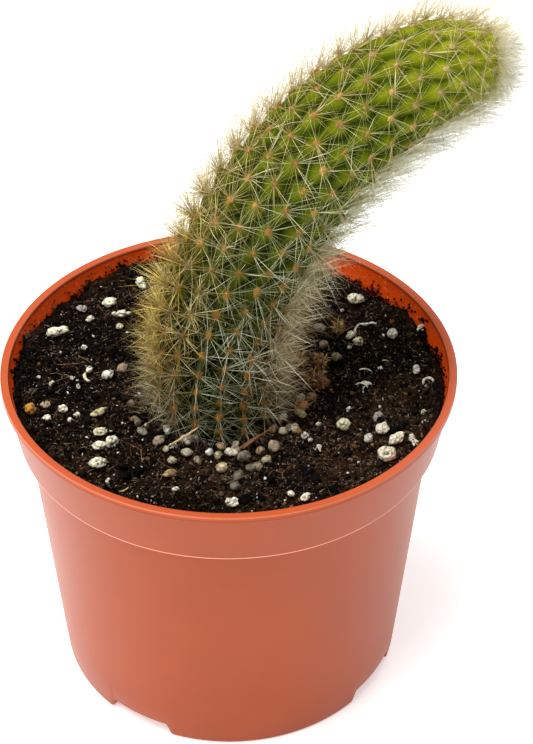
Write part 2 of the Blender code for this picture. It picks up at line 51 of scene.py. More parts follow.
potY = (potLow.y + potHigh.y) / 2
potAxis = np.array([potX, potY, 0.0])


def linear(code):
    # sRGB hex to linear: each channel's display value is raised by the sRGB curve
    channels = [int(code[i:i + 2], 16) / 255 for i in (1, 3, 5)]
    return [c / 12.92 if c <= 0.04045 else ((c + 0.055) / 1.055) ** 2.4 for c in channels] + [1.0]


def asValue(value):
    # a hex code is turned linear, and anything else stays
    return linear(value) if isinstance(value, str) and value[0] == "#" else value


def addNode(tree, kind, settings=None, links=None, stops=None):
    # adds a node, sets its sockets and properties, links it, and fills a colour ramp's stops; a link
    # comes from a socket, or from a node's first output in use
    node = tree.nodes.new("ShaderNode" + kind)
    for key, value in (settings or {}).items():
        if isinstance(key, int) or key in node.inputs:
            node.inputs[key].default_value = asValue(value)
        else:
            setattr(node, key, value)
    for key, source in (links or {}).items():
        if isinstance(source, bpy.types.Node):
            source = next(output for output in source.outputs if output.enabled)
        tree.links.new(source, node.inputs[key])
    if stops:
        ramp = node.color_ramp
        while len(ramp.elements) < len(stops):
            ramp.elements.new(0.5)
        for element, (place, colour) in zip(ramp.elements, stops):
            element.position = place
            element.color = asValue(colour)
    return node


# settings of a colour mix, and of one that multiplies
mixing = {"data_type": "RGBA"}
multiplying = {"data_type": "RGBA", "blend_type": "MULTIPLY", 0: 1.0}


def newMaterial(name):
    # an empty material, and the call that adds a node to it
    material = bpy.data.materials.new(name)
    material.use_nodes = True
    material.node_tree.nodes.clear()
    return material, partial(addNode, material.node_tree)


def makePiece(name, points, faceGroups, material, replaced=(), smooth=True, values=None):
    # a mesh straight from arrays: points (n, 3), and groups of faces with 3 or 4 corners
    mesh = bpy.data.meshes.new(name)
    corners = np.concatenate([group.ravel() for group in faceGroups]).astype(np.int32)
    sizes = np.concatenate([np.full(len(group), group.shape[1]) for group in faceGroups])
    starts = np.concatenate([[0], np.cumsum(sizes)[:-1]]).astype(np.int32)
    mesh.vertices.add(len(points))
    mesh.vertices.foreach_set("co", np.asarray(points, np.float32).ravel())
    mesh.loops.add(len(corners))
    mesh.loops.foreach_set("vertex_index", corners)
    mesh.polygons.add(len(sizes))
    mesh.polygons.foreach_set("loop_start", starts)
    mesh.update(calc_edges=True)
    mesh.validate()
    if smooth:
        mesh.shade_smooth()
    for label, value in (values or {}).items():
        if value.ndim == 1:
            store = mesh.attributes.new(label, "FLOAT", "POINT")
            store.data.foreach_set("value", value.astype(np.float32))
        else:
            store = mesh.attributes.new(label, "FLOAT_COLOR", "POINT")
            store.data.foreach_set("color", value.astype(np.float32).ravel())
    mesh.materials.append(material)
    piece = bpy.data.objects.new(name, mesh)
    bpy.context.scene.collection.objects.link(piece)
    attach(piece, "root")
    if replaced:
        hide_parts(*replaced)
    return piece


def stack(*parts):
    # arrays and plain numbers side by side along a new last axis
    return np.stack(np.broadcast_arrays(*parts), axis=-1)


def gridFaces(rows, columns, wrapRows=False):
    # quads of a grid whose columns close on themselves
    row = np.arange(rows if wrapRows else rows - 1)[:, None]
    column = np.arange(columns)[None, :]
    here = row * columns
    above = (row + 1) % rows * columns
    aside = (column + 1) % columns
    return stack(here + column, here + aside, above + aside, above + column).reshape(-1, 4)


def fanFaces(first, columns, hub, flipped=False):
    # triangles from a ring of points to one hub point
    here = first + np.arange(columns)
    after = first + (np.arange(columns) + 1) % columns
    pair = (after, here) if flipped else (here, after)
    return stack(*pair, hub)


def repeated(faces, step, count):
    # one piece's faces for each of its copies, whose points follow each other, step points a copy
    return (faces[None] + step * np.arange(count)[:, None, None]).reshape(-1, faces.shape[1])


def around(count):
    # angles evenly round a circle
    return 2 * math.pi * np.arange(count) / count


def softNoise(points, size, seed):
    # value noise from -1 to 1: random numbers on a cubic lattice, blended with smooth steps
    table = np.random.default_rng(seed).uniform(-1, 1, (32, 32, 32))
    place = np.asarray(points, float) / size
    cell = np.floor(place).astype(int)
    part = place - cell
    part = part * part * (3 - 2 * part)
    total = 0
    for corner in range(8):
        step = np.array([corner & 1, corner >> 1 & 1, corner >> 2 & 1])
        weight = np.prod(np.where(step, part, 1 - part), axis=-1)
        index = (cell + step) % 32
        total = total + weight * table[index[..., 0], index[..., 1], index[..., 2]]
    return total


def smoothStep(value):
    # 3 v squared - 2 v cubed: from 0 to 1 with level ends
    value = np.clip(value, 0, 1)
    return value * value * (3 - 2 * value)


def unit(vectors):
    # each vector divided by its own length
    return vectors / np.maximum(np.linalg.norm(vectors, axis=-1, keepdims=True), 1e-12)


print("pot")
potSet = {"sides": 288, "rimWidth": 1.5, "lip": 1.5, "collarTopInset": 0.7, "collarFoot": 42.4,
          "collarFootZ": 59.1, "bodyTop": 40.5, "base": 35.6, "wall": 1.2, "floorUnder": 3.2,
          "floorTop": 4.6, "footWidth": 2.2, "drain": 3.5, "drainRing": 22.0, "notchHeight": 2.9,
          "notchDeg": 22.5, "notchTurnDeg": -122.5, "notchEndDeg": 2.2, "footBand": 8.0, "bandOut": 0.68,
          "wallLean": 0.173, "wallMiddle": 31.55, "fineDeg": (-2.2, -1.5, -0.8, -0.3, 0.3, 0.8, 1.5, 2.2)}
# where the plastic's colour changes; seam and rimEdge carry painted highlights, rimTop painted light and
# shade painted shade, while grime is peat. A middle height and half a width: splash, seam and rimEdge. A
# first and a
# last height: shade and grime. One height: rimTop. A radius: collar
potMarks = {"splash": (66.7, 4.8), "seam": (59.35, 0.22), "rimEdge": (71.85, 0.11), "shade": (66.0, 71.5),
            "grime": (71.2, 66.8), "rimTop": 71.3, "collar": 42.0}


def roundCorners(corners, steps=5):
    # each corner of a closed outline turns into a short parabola that starts its own distance away
    here = np.array([(radius, z) for radius, z, _ in corners])
    cut = np.array([distance for _, _, distance in corners])[:, None]
    back = here + unit(np.roll(here, 1, axis=0) - here) * cut
    ahead = here + unit(np.roll(here, -1, axis=0) - here) * cut
    share = np.linspace(0, 1, steps)[None, :, None]
    arc = (back[:, None] * (1 - share) ** 2 + here[:, None] * 2 * share * (1 - share)
           + ahead[:, None] * share ** 2)
    return arc.reshape(-1, 2)


def potOutline():
    # half of the pot's section: radius, height and how far from each corner its rounding starts
    s = potSet
    rim = (potHigh.x - potLow.x) / 2 / mm
    top = potHigh.z / mm
    footIn = s["base"] - s["footWidth"]
    shoulder = s["collarFootZ"] + s["wall"]
    corners = [(s["drain"], s["floorUnder"], 0.1), (footIn, s["floorUnder"], 0.3), (footIn, 0.0, 0.3),
               (s["base"], 0.0, 0.5), (s["base"] + s["bandOut"], s["footBand"], 0.2),
               (s["bodyTop"], s["collarFootZ"], 0.2), (s["collarFoot"], s["collarFootZ"], 0.4),
               (rim - s["collarTopInset"], top - s["lip"], 0.15), (rim, top - s["lip"], 0.3),
               (rim, top, 0.25), (rim - s["rimWidth"], top, 0.22),
               (s["collarFoot"] - s["wall"], shoulder + s["wall"], 0.5),
               (s["bodyTop"] - s["wall"], shoulder, 0.5), (s["base"] - s["wall"], s["floorTop"], 0.8),
               (s["drain"], s["floorTop"], 0.1)]
    return roundCorners(corners)


def makePot(material):
    # radius and height along the outline, turned round the axis; the foot's points rise inside four notches
    s = potSet
    outline = potOutline()
    edges = [s["notchTurnDeg"] + 90 * quarter + side * s["notchDeg"] / 2 for quarter in range(4)
             for side in (-1, 1)]
    fine = [edge + shift for edge in edges for shift in s["fineDeg"]]
    even = np.arange(s["sides"]) * 360 / s["sides"]
    turn = np.radians(np.unique(np.round(np.concatenate([even, np.mod(fine, 360)]), 3)))
    fromNotch = np.mod(np.degrees(turn) - s["notchTurnDeg"] + 45, 90) - 45
    inNotch = smoothStep((s["notchDeg"] / 2 + s["notchEndDeg"] / 2 - np.abs(fromNotch)) / s["notchEndDeg"])
    lift = s["notchHeight"] * inNotch
    radius = outline[:, 0][:, None]
    z = outline[:, 1][:, None]
    band = np.where(radius > s["base"] - s["footWidth"] + 0.6, s["footBand"], s["floorUnder"])
    isFoot = (z < band) & (radius > s["base"] - s["footWidth"] - 0.01)
    raised = np.where(isFoot, lift * (1 - z / band), 0 * lift)
    # a raised point moves out as far as the wall leans
    radius = radius + raised * (radius > s["base"] - 0.1) * (s["bodyTop"] - s["base"]) / s["collarFootZ"]
    z = z + raised
    points = stack(potX / mm + radius * np.cos(turn), potY / mm + radius * np.sin(turn), z)
    faces = gridFaces(len(outline), len(turn), wrapRows=True)
    pot = makePiece("potShell", points.reshape(-1, 3) * mm, [faces], material, ["pot"])
    pot.data.set_sharp_from_angle(angle=math.radians(50))
    cutters = []
    for hole in range(6):
        angle = math.pi * hole / 3
        reach = s["drainRing"] * mm
        place = (potX + reach * math.cos(angle), potY + reach * math.sin(angle), 4 * mm)
        bpy.ops.mesh.primitive_cylinder_add(vertices=32, radius=s["drain"] * mm, depth=6 * mm,
                                            location=place)
        cutters.append(bpy.context.object)
    for cutter in cutters:
        cut = pot.modifiers.new("drain", "BOOLEAN")
        cut.operation = "DIFFERENCE"
        cut.solver = "EXACT"
        cut.object = cutter
    view = bpy.context.evaluated_depsgraph_get()
    drained = bpy.data.meshes.new_from_object(pot.evaluated_get(view))
    pot.modifiers.clear()
    pot.data = drained
    for cutter in cutters:
        bpy.data.objects.remove(cutter)
    return pot


def potPlastic():
    # Polypropylene, injection moulded and coloured through: satin, with faint clouds from the flow of
    # the melt, and peat splashed on the inner wall just above the soil. Painted light and shade lie on it
    # too: a brighter inner wall that darkens under the rim, a lighter rim top and highlight lines on the
    # moulded edges.
    material, add = newMaterial("mouldedPolypropylene")
    marks = {key: np.array(value) * mm for key, value in potMarks.items()}
    place = add("TexCoord").outputs["Object"]
    centred = add("VectorMath", {"operation": "SUBTRACT", 1: (potX, potY, 0.0)}, {0: place})
    axes = add("SeparateXYZ", links={0: centred})
    height = axes.outputs["Z"]
    flat = add("CombineXYZ", links={"X": axes.outputs["X"], "Y": axes.outputs["Y"]})
    radius = add("VectorMath", {"operation": "LENGTH"}, {0: flat})
    cloud = add("TexNoise", {"Scale": 45.0, "Detail": 3.0}, {"Vector": place})
    colour = add("ValToRGB", links={0: cloud}, stops=[(0.3, "#9C431C"), (0.7, "#A4481F")])
    # inside: nearer to the axis than the middle of the leaning collar wall, from the shoulder to the rim
    lean = add("Math", {"operation": "MULTIPLY_ADD", 1: -potSet["wallLean"]}, {0: height, 2: radius})
    middle = potSet["wallMiddle"] * mm
    inside = add("MapRange", {1: middle + 0.1 * mm, 2: middle - 0.1 * mm}, {0: lean})
    above = add("Math", {"operation": "COMPARE", 1: marks["splash"][0], 2: marks["splash"][1]}, {0: height})
    wall = add("Math", {"operation": "MULTIPLY"}, {0: inside, 1: above})
    # painted light: the inner wall has a brighter, deeper copy of the plastic's colour, standing in for the
    # light the orange walls bounce to each other; on it lie dark specks of 0.6 mm where damp peat has
    # splashed, and pale specks of the same size
    specks = add("TexNoise", {"Scale": 1 / (0.6 * mm), "Detail": 1.0}, {"Vector": place})
    litInnerSpeckTints = [(0.24, "#6A1C04"), (0.29, "#D84608"), (0.68, "#E44E0C"), (0.74, "#F4885A")]
    litInnerSpeckled = add("ValToRGB", links={0: specks}, stops=litInnerSpeckTints)
    # painted shade: the inner wall darkens upwards, most in the corner right under the rim, where the rim's
    # shadow falls
    upWall = add("MapRange", {1: marks["shade"][0], 2: marks["shade"][1]}, {0: height})
    shades = [(0.5, "#FFFFFF"), (0.9, "#E2E2E2"), (0.98, "#909090")]
    shade = add("ValToRGB", links={0: upWall}, stops=shades)
    paintedShadeWall = add("Mix", multiplying, {6: litInnerSpeckled, 7: shade})
    # painted light: the rim's top is a little lighter, as where the lamps above fall on it
    rimTop = add("Math", {"operation": "GREATER_THAN", 1: marks["rimTop"]}, {0: height})
    litRimTop = add("Mix", {"data_type": "RGBA", 7: "#B85029"}, {0: rimTop, 6: colour})
    deep = add("Mix", mixing, {0: wall, 6: litRimTop, 7: paintedShadeWall})
    # painted highlights: thin paler lines along the collar's lower edge and round the rim, where the rounded
    # edges catch the light
    seam, rimEdge = [add("Math", {"operation": "COMPARE", 1: marks[key][0], 2: marks[key][1]}, {0: height})
                     for key in ("seam", "rimEdge")]
    rimHighlight = add("Math", {"operation": "MULTIPLY", 1: 0.35}, {0: rimEdge})
    proud = add("Math", {"operation": "GREATER_THAN", 1: marks["collar"]}, {0: radius})
    seamHighlight = add("Math", {"operation": "MULTIPLY"}, {0: seam, 1: proud})
    paintedHighlights = add("Math", {"operation": "MAXIMUM"}, {0: seamHighlight, 1: rimHighlight})
    withHighlights = add("Mix", {"data_type": "RGBA", 7: "#E39A7C"}, {0: paintedHighlights, 6: deep})
    # smudges of peat, thickest at the soil's edge: grime of 1 mm in patches of 6 mm
    low = add("MapRange", {1: marks["grime"][0], 2: marks["grime"][1]}, {0: height})
    splash = add("TexNoise", {"Scale": 1 / (1.0 * mm), "Detail": 4.0, "Roughness": 0.7}, {"Vector": place})
    patch = add("TexNoise", {"Scale": 1 / (6.0 * mm), "Detail": 2.0}, {"Vector": place})
    both = add("Math", {"operation": "ADD"}, {0: splash, 1: patch})
    level = add("Math", {"operation": "MULTIPLY_ADD", 1: 0.42}, {0: low, 2: both})
    dirt = add("MapRange", {1: 1.36, 2: 1.5}, {0: level})
    dirty = add("Math", {"operation": "MULTIPLY"}, {0: dirt, 1: wall})
    painted = add("Mix", {"data_type": "RGBA", 7: "#3A0F04"}, {0: dirty, 6: withHighlights})
    grain = add("TexNoise", {"Scale": 1 / (0.7 * mm), "Detail": 2.0}, {"Vector": place})
    rough = add("MapRange", {3: 0.3, 4: 0.42}, {0: cloud})
    bump = add("Bump", {"Strength": 0.1, "Distance": 0.05 * mm}, {"Height": grain})
    shader = add("BsdfPrincipled", {"IOR": 1.42, "Specular IOR Level": 0.25},
                 {"Base Color": painted, "Roughness": rough, "Normal": bump})
    add("OutputMaterial", links={0: shader})
    return material


makePot(potPlastic())

print("soil")
soilSet = {"columns": 400, "rings": 92, "footX": -1.9, "footRadius": 12.3, "wallGap": 0.12, "footZ": 62.8,
           "tableStep": 0.8, "tableHalf": 44.0, "clods": 170, "crumbs": 16000, "lumps": 1200, "chips": 420,
           "dust": 420, "wallCrumbs": 800, "specks": 6000, "holeRadius": 12.0, "holeZ": 58.0,
           "edgeReach": 41.9, "edgeFrom": 38.2, "edgeWide": 3.4, "wallAt": 42.0, "bottomZ": 5.0,
           "tableReach": 41.0, "sink": 0.12, "clodPower": 1.3,
           "under": ((40.8, 61.8), (38.9, 60.7), (34.0, 5.0)),  # radius and height, down the wall
           "noise": ((2.3, 0.45, 4), (1.1, 0.34, 5), (0.55, 0.22, 6))}  # size, strength and seed
# median, spread of the logarithm, smallest and largest size
crumbSizes = {"peatCrumbs": (0.42, 0.4, 0.2, 1.2), "peatLumps": (0.95, 0.35, 0.5, 2.0),
              "wallCrumbs": (0.55, 0.45, 0.15, 1.5), "soilSpecks": (0.22, 0.35, 0.1, 0.5),
              "perliteDust": (0.3, 0.5, 0.12, 0.9)}
innerWall = {"lowZ": 61.5, "lowRadius": 41.2, "highZ": 72.0, "highRadius": 43.5}
# height of the soil's edge on the wall: turn round the pot's axis in degrees, and millimetres above the floor
wallLevels = ((-180, 69), (-170, 66.5), (-120, 66.5), (-60, 66), (-30, 66.5), (-8, 68.5), (3, 67.5),
              (9, 68), (15, 66.5), (20, 69), (24, 67), (30, 68.5), (37, 66), (44, 65.5), (50, 67), (70, 66),
              (95, 67), (122, 69), (127, 68), (133, 69), (139, 66.5), (145, 68.5), (153, 68), (164, 69.5),
              (173, 68), (180, 69))
# black patches of painted shade, where the soil's hollows lie in shadow, and dry brown patches: x, y and
# reach from the pot's axis, and how much drier
shadeAndDryPatches = ((-29, 14, 9, -0.7), (25.5, 8, 7, -0.7), (20, -3, 5, -0.6), (-30, -3, 6, -0.35),
               (-4, -27, 8, 0.5), (31.5, -5, 8, 0.7), (-19.5, -2, 5, 0.5), (11, -14, 6, 0.35),
               (18, 4, 4, 0.4), (28, 24, 6, 0.3), (30, -16, 8, 0.6), (24, -26, 8, 0.5))
notGrains = ("pot", "soil", "cactus", "straw", "twig")
grainNames = [name for name in sorted(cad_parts) if name not in notGrains]
grainBoxes = [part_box(name) for name in grainNames]
grainCentres = np.array([[(low.x + high.x) / 2 - potX, (low.y + high.y) / 2 - potY]
                         for low, high in grainBoxes]) / mm
grainSizes = np.array([(high.x - low.x + high.y - low.y) / 4 for low, high in grainBoxes]) / mm
draw = np.random.default_rng(21)


def wallRadius(z):
    # the collar's inner wall leans outwards on its way up
    s = innerWall
    return s["lowRadius"] + (s["highRadius"] - s["lowRadius"]) * (z - s["lowZ"]) / (s["highZ"] - s["lowZ"])


def soilTable():
    # heights of the model's own soil on a square grid, found by looking straight down on it
    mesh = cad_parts["soil"].data
    tree = BVHTree.FromPolygons([v.co for v in mesh.vertices], [p.vertices for p in mesh.polygons])
    ticks = np.arange(-soilSet["tableHalf"], soilSet["tableHalf"] + 0.01, soilSet["tableStep"])
    rows = []
    for y in ticks:
        row = []
        for x in ticks:
            shrink = min(1.0, soilSet["tableReach"] / max(math.hypot(x, y), 1e-6))
            hit = tree.ray_cast(Vector((potX + x * shrink * mm, potY + y * shrink * mm, 0.1)),
                                Vector((0, 0, -1)))[0]
            row.append(max(hit.z / mm if hit else 0.0, soilSet["footZ"]))
        rows.append(row)
    return ticks, np.array(rows)


tableTicks, tableHeights = soilTable()


def scatter(count, inner=13.0, outer=41.0, clear=0.8):
    # even random places on the soil, clear of the stem's foot and of the larger grains
    reach = np.sqrt(draw.uniform(0, 1, count * 3)) * outer
    turn = draw.uniform(0, 2 * math.pi, count * 3)
    x = reach * np.cos(turn)
    y = reach * np.sin(turn)
    away = np.hypot(x[:, None] - grainCentres[:, 0], y[:, None] - grainCentres[:, 1])
    free = (np.hypot(x - soilSet["footX"], y) > inner) & (away > grainSizes * clear).all(axis=1)
    return x[free][:count], y[free][:count]


clodX, clodY = scatter(soilSet["clods"], inner=15.5, clear=1.9)
clodSize = draw.uniform(1.0, 3.2, len(clodX))
# clods stand up more towards the wall
nearWall = smoothStep((np.hypot(clodX, clodY) - 28) / 12)
clodRise = clodSize * draw.uniform(0.25, 0.6, len(clodX)) * (0.5 + 0.7 * nearWall)


def soilHeight(x, y):
    # the model's soil read between the grid's ticks, drawn to the edge's own height at the wall, with
    # rounded clods on top and three sizes of crumbly noise
    half, step = soilSet["tableHalf"], soilSet["tableStep"]
    across = np.clip((x + half) / step, 0, len(tableTicks) - 1.001)
    deep = np.clip((y + half) / step, 0, len(tableTicks) - 1.001)
    i, j = across.astype(int), deep.astype(int)
    a, b = across - i, deep - j
    level = (tableHeights[j, i] * (1 - a) + tableHeights[j, i + 1] * a) * (1 - b)
    level = level + (tableHeights[j + 1, i] * (1 - a) + tableHeights[j + 1, i + 1] * a) * b
    reach = np.hypot(x, y)
    turns, heights = np.array(wallLevels).T
    edge = np.interp(np.degrees(np.arctan2(y, x)), turns, heights)
    level = level + (edge - level) * smoothStep((reach - soilSet["edgeFrom"]) / soilSet["edgeWide"])
    for clod in range(len(clodX)):
        away = np.hypot(x - clodX[clod], y - clodY[clod]) / clodSize[clod]
        level = level + clodRise[clod] * np.clip(1 - away ** 2, 0, 1) ** soilSet["clodPower"]
    rough = sum(strength * softNoise(stack(x, y, 0), size, seed) for size, strength, seed in soilSet["noise"])
    return level + rough - soilSet["sink"]


def groundAt(x, y):
    # the soil's height at one place
    return float(soilHeight(np.array([x]), np.array([y]))[0])


def drynessAndShade(x, y):
    # from 0, black, to 1, brown and dry: damp and dry at random, with black patches of painted shade in the
    # hollows
    value = 0.34 + 0.4 * softNoise(stack(x, y, 0), 7.0, 8)
    for patchX, patchY, reach, change in shadeAndDryPatches:
        value = value + change * np.exp(-((x - patchX) ** 2 + (y - patchY) ** 2) / reach ** 2)
    return np.clip(value, 0, 1)


def pickTints(codes, count, spread=0.12):
    # one of the colours for each grain, a little lighter or darker
    table = np.array([linear(code) for code in codes])
    tints = table[draw.integers(0, len(codes), count)]
    tints[:, :3] *= 1 + draw.uniform(-spread, spread, (count, 1))
    return np.clip(tints, 0, 1)


def blendTints(first, second, share):
    # the first colour where the share is 0, and the second where it is 1
    return np.array(linear(first)) * (1 - share[:, None]) + np.array(linear(second)) * share[:, None]


def mixedSizes(name, count):
    # most are near the median, and a few are much larger
    median, spread, smallest, largest = crumbSizes[name]
    return np.clip(draw.lognormal(math.log(median), spread, count), smallest, largest)


def peatTints(x, y):
    # each crumb takes a black or a brown tint, brown more often where the soil is dry and seldom in the
    # patches of painted shade
    brown = draw.uniform(0, 1, len(x)) < drynessAndShade(x, y) * 0.7
    return np.where(brown[:, None], pickTints(["#2A1E15", "#4A382A", "#6C5746", "#38291E"], len(x), 0.3),
                    pickTints(["#060403", "#0A0706", "#110C09", "#201711"], len(x), 0.3))


def makeSoilBed(material):
    # rings from the stem's foot out to the wall, down along the wall and closed below
    s = soilSet
    turn = around(s["columns"])
    atWall = soilHeight(s["edgeReach"] * np.cos(turn), s["edgeReach"] * np.sin(turn))
    edge = wallRadius(atWall) - s["wallGap"]
    share = np.linspace(0, 1, s["rings"])[:, None]
    reach = s["footRadius"] + (edge - s["footRadius"]) * share
    x = s["footX"] * (1 - share) + reach * np.cos(turn)
    y = reach * np.sin(turn)
    hole = stack(s["footX"] + s["holeRadius"] * np.cos(turn), s["holeRadius"] * np.sin(turn), s["holeZ"])
    under = [stack(radius * np.cos(turn), radius * np.sin(turn), level) for radius, level in s["under"]]
    grid = np.concatenate([hole[None], stack(x, y, soilHeight(x, y)), under])
    points = np.concatenate([grid.reshape(-1, 3), [[s["footX"], 0, s["holeZ"]], [0, 0, s["bottomZ"]]]])
    # the bed is black where damp and in the patches of painted shade, and brown where dry
    tint = blendTints("#060403", "#2A1B0C", drynessAndShade(points[:, 0], points[:, 1]))
    last = (len(grid) - 1) * s["columns"]
    total = len(grid) * s["columns"]
    # the rings run outwards, so the faces are turned over to look up
    faces = [gridFaces(len(grid), s["columns"])[:, ::-1], fanFaces(0, s["columns"], total),
             fanFaces(last, s["columns"], total + 1, True)]
    return makePiece("soilBed", points * mm + potAxis, faces, material, ["soil"],
                     values={"tint": tint})


def turnedRandomly(count):
    # random rotation matrices from unit quaternions
    w, x, y, z = unit(draw.normal(size=(count, 4))).T
    rows = [1 - 2 * (y * y + z * z), 2 * (x * y - w * z), 2 * (x * z + w * y), 2 * (x * y + w * z),
            1 - 2 * (x * x + z * z), 2 * (y * z - w * x), 2 * (x * z - w * y), 2 * (y * z + w * x),
            1 - 2 * (x * x + y * y)]
    return np.stack(rows, axis=-1).reshape(count, 3, 3)


def finerSphere(level):
    # an icosahedron, twelve corners on three golden rectangles, whose faces are split in four, level
    # times, with the new corners moved out to the sphere
    golden = (1 + math.sqrt(5)) / 2
    corners = [(-1, golden, 0), (1, golden, 0), (-1, -golden, 0), (1, -golden, 0), (0, -1, golden),
               (0, 1, golden), (0, -1, -golden), (0, 1, -golden), (golden, 0, -1), (golden, 0, 1),
               (-golden, 0, -1), (-golden, 0, 1)]
    faces = np.array([(0, 11, 5), (0, 5, 1), (0, 1, 7), (0, 7, 10), (0, 10, 11), (1, 5, 9), (5, 11, 4),
                      (11, 10, 2), (10, 7, 6), (7, 1, 8), (3, 9, 4), (3, 4, 2), (3, 2, 6), (3, 6, 8),
                      (3, 8, 9), (4, 9, 5), (2, 4, 11), (6, 2, 10), (8, 6, 7), (9, 8, 1)])
    points = unit(np.array(corners, float))
    for _ in range(level):
        pairs = np.sort(np.concatenate([faces[:, [0, 1]], faces[:, [1, 2]], faces[:, [2, 0]]]), axis=1)
        unique, place = np.unique(pairs, axis=0, return_inverse=True)
        a, b, c = np.split(place.reshape(-1) + len(points), 3)
        points = np.concatenate([points, unit(points[unique[:, 0]] + points[unique[:, 1]])])
        one, two, three = faces.T
        split = ((one, a, c), (two, b, a), (three, c, b), (a, b, c))
        faces = np.concatenate([stack(*group) for group in split])
    return points, faces


# an octahedron, the form of the smallest crumbs
octahedron = (np.array([(1, 0, 0), (-1, 0, 0), (0, 1, 0), (0, -1, 0), (0, 0, 1), (0, 0, -1)], float),
              np.array([(0, 2, 4), (2, 1, 4), (1, 3, 4), (3, 0, 4),
                        (2, 0, 5), (1, 2, 5), (3, 1, 5), (0, 3, 5)]))


def makeCrumbs(name, x, y, sizes, stretch, tints, material, lift=0.25, z=None, form=octahedron):
    # one jittered solid a crumb, stretched, turned at random and set a little into the soil
    corners, faces = form
    count = len(x)
    scale = 1 + draw.uniform(-stretch, stretch, (count, 1, 3))
    shape = corners[None] * draw.uniform(0.6, 1.3, (count, len(corners), 1)) * scale
    shape = shape * sizes[:, None, None] / 2
    shape = np.einsum("nij,nkj->nki", turnedRandomly(count), shape)
    height = soilHeight(x, y) + sizes * lift if z is None else z
    points = (shape + stack(x, y, height)[:, None]).reshape(-1, 3) * mm + potAxis
    return makePiece(name, points, [repeated(faces, len(corners), count)], material, smooth=False,
                     values={"tint": np.repeat(tints, len(corners), axis=0)})


def makeStrands(name, roots, headings, bends, lengths, widths, segments, material, values,
                taper=0.6):
    # three-sided tapered strands: place = root + (heading * t + bend * t squared) * length, with the
    # width falling to a point at t = 1
    count = len(roots)
    t = np.linspace(0, 1, segments + 1)[:-1]
    side = unit(np.cross(headings, np.where(np.abs(headings[:, 2:]) < 0.9, [[0, 0, 1.0]], [[1.0, 0, 0]])))
    other = np.cross(headings, side)
    run = t[None, :, None]
    spine = roots[:, None] + (headings[:, None] * run + bends[:, None] * run ** 2) * lengths[:, None, None]
    turn = around(3)
    ring = side[:, None, None] * np.cos(turn)[:, None] + other[:, None, None] * np.sin(turn)[:, None]
    body = spine[:, :, None] + ring * (widths[:, None] * (1 - t) ** taper)[..., None, None]
    tips = roots + (headings + bends) * lengths[:, None]
    block = segments * 3 + 1
    points = np.concatenate([body.reshape(count, -1, 3), tips[:, None]], axis=1).reshape(-1, 3)
    caps = np.concatenate([fanFaces((segments - 1) * 3, 3, segments * 3), [[2, 1, 0]]])
    groups = [repeated(gridFaces(segments, 3), block, count), repeated(caps, block, count)]
    stored = {key: np.repeat(value, block, axis=0) for key, value in values.items()}
    stored["reach"] = np.tile(np.concatenate([np.repeat(t, 3), [1.0]]), count)
    return makePiece(name, points * mm, groups, material, values=stored)


def makeTube(name, path, radius, sides, rings, material, replaced=(), tint=None, ragged=0.12):
    # a tube along a curve through the path's points (cubic, with slopes from the neighbours), with
    # rounded ends and a ragged skin; the tube's rings stand square to the curve
    path = np.array(path, float)
    padded = np.concatenate([[2 * path[0] - path[1]], path, [2 * path[-1] - path[-2]]])
    place = np.linspace(0, len(path) - 1, rings)
    i = np.minimum(place.astype(int), len(path) - 2)
    t = (place - i)[:, None]
    before, here, there, beyond = [padded[i + shift] for shift in range(4)]
    curve = 0.5 * (2 * here + (there - before) * t + (2 * before - 5 * here + 4 * there - beyond) * t ** 2
                   + (3 * here - before - 3 * there + beyond) * t ** 3)
    heading = unit(np.gradient(curve, axis=0))
    side = unit(np.cross(heading, [0.31, 0.17, 0.93]))
    other = np.cross(heading, side)
    turn = around(sides)
    ring = side[:, None] * np.cos(turn)[:, None] + other[:, None] * np.sin(turn)[:, None]
    share = np.linspace(-1, 1, rings)
    swell = radius * np.maximum(1 - np.abs(share) ** 6, 0.12) ** 0.5
    body = curve[:, None] + ring * swell[:, None, None]
    body = body + ring * (radius * ragged * softNoise(body, 0.7, 17))[..., None]
    points = np.concatenate([body.reshape(-1, 3), curve[:1], curve[-1:]])
    faces = [gridFaces(rings, sides), fanFaces(0, sides, rings * sides, True),
             fanFaces((rings - 1) * sides, sides, rings * sides + 1)]
    values = {"tint": np.tile(np.array(linear(tint)), (len(points), 1))} if tint else None
    return makePiece(name, points * mm + potAxis, faces, material, replaced, values=values)


def peat():
    # Peat with coir: near black when moist, rough, with brown plant fibre showing between the crumbs.
    material, add = newMaterial("moistPeat")
    place = add("TexCoord").outputs["Object"]
    tint = add("Attribute", {"attribute_name": "tint"})
    specks = add("TexNoise", {"Scale": 1 / (0.7 * mm), "Detail": 4.0, "Roughness": 0.75}, {"Vector": place})
    bits = add("ValToRGB", links={0: specks}, stops=[(0.5, "#000000"), (0.72, "#463729")])
    mixed = add("Mix", {"data_type": "RGBA", "blend_type": "ADD", 0: 0.6}, {6: tint, 7: bits})
    bump = add("Bump", {"Strength": 1.0, "Distance": 0.3 * mm}, {"Height": specks})
    shader = add("BsdfPrincipled", {"Roughness": 0.9, "Specular IOR Level": 0.03},
                 {"Base Color": mixed, "Normal": bump})
    add("OutputMaterial", links={0: shader})
    return material


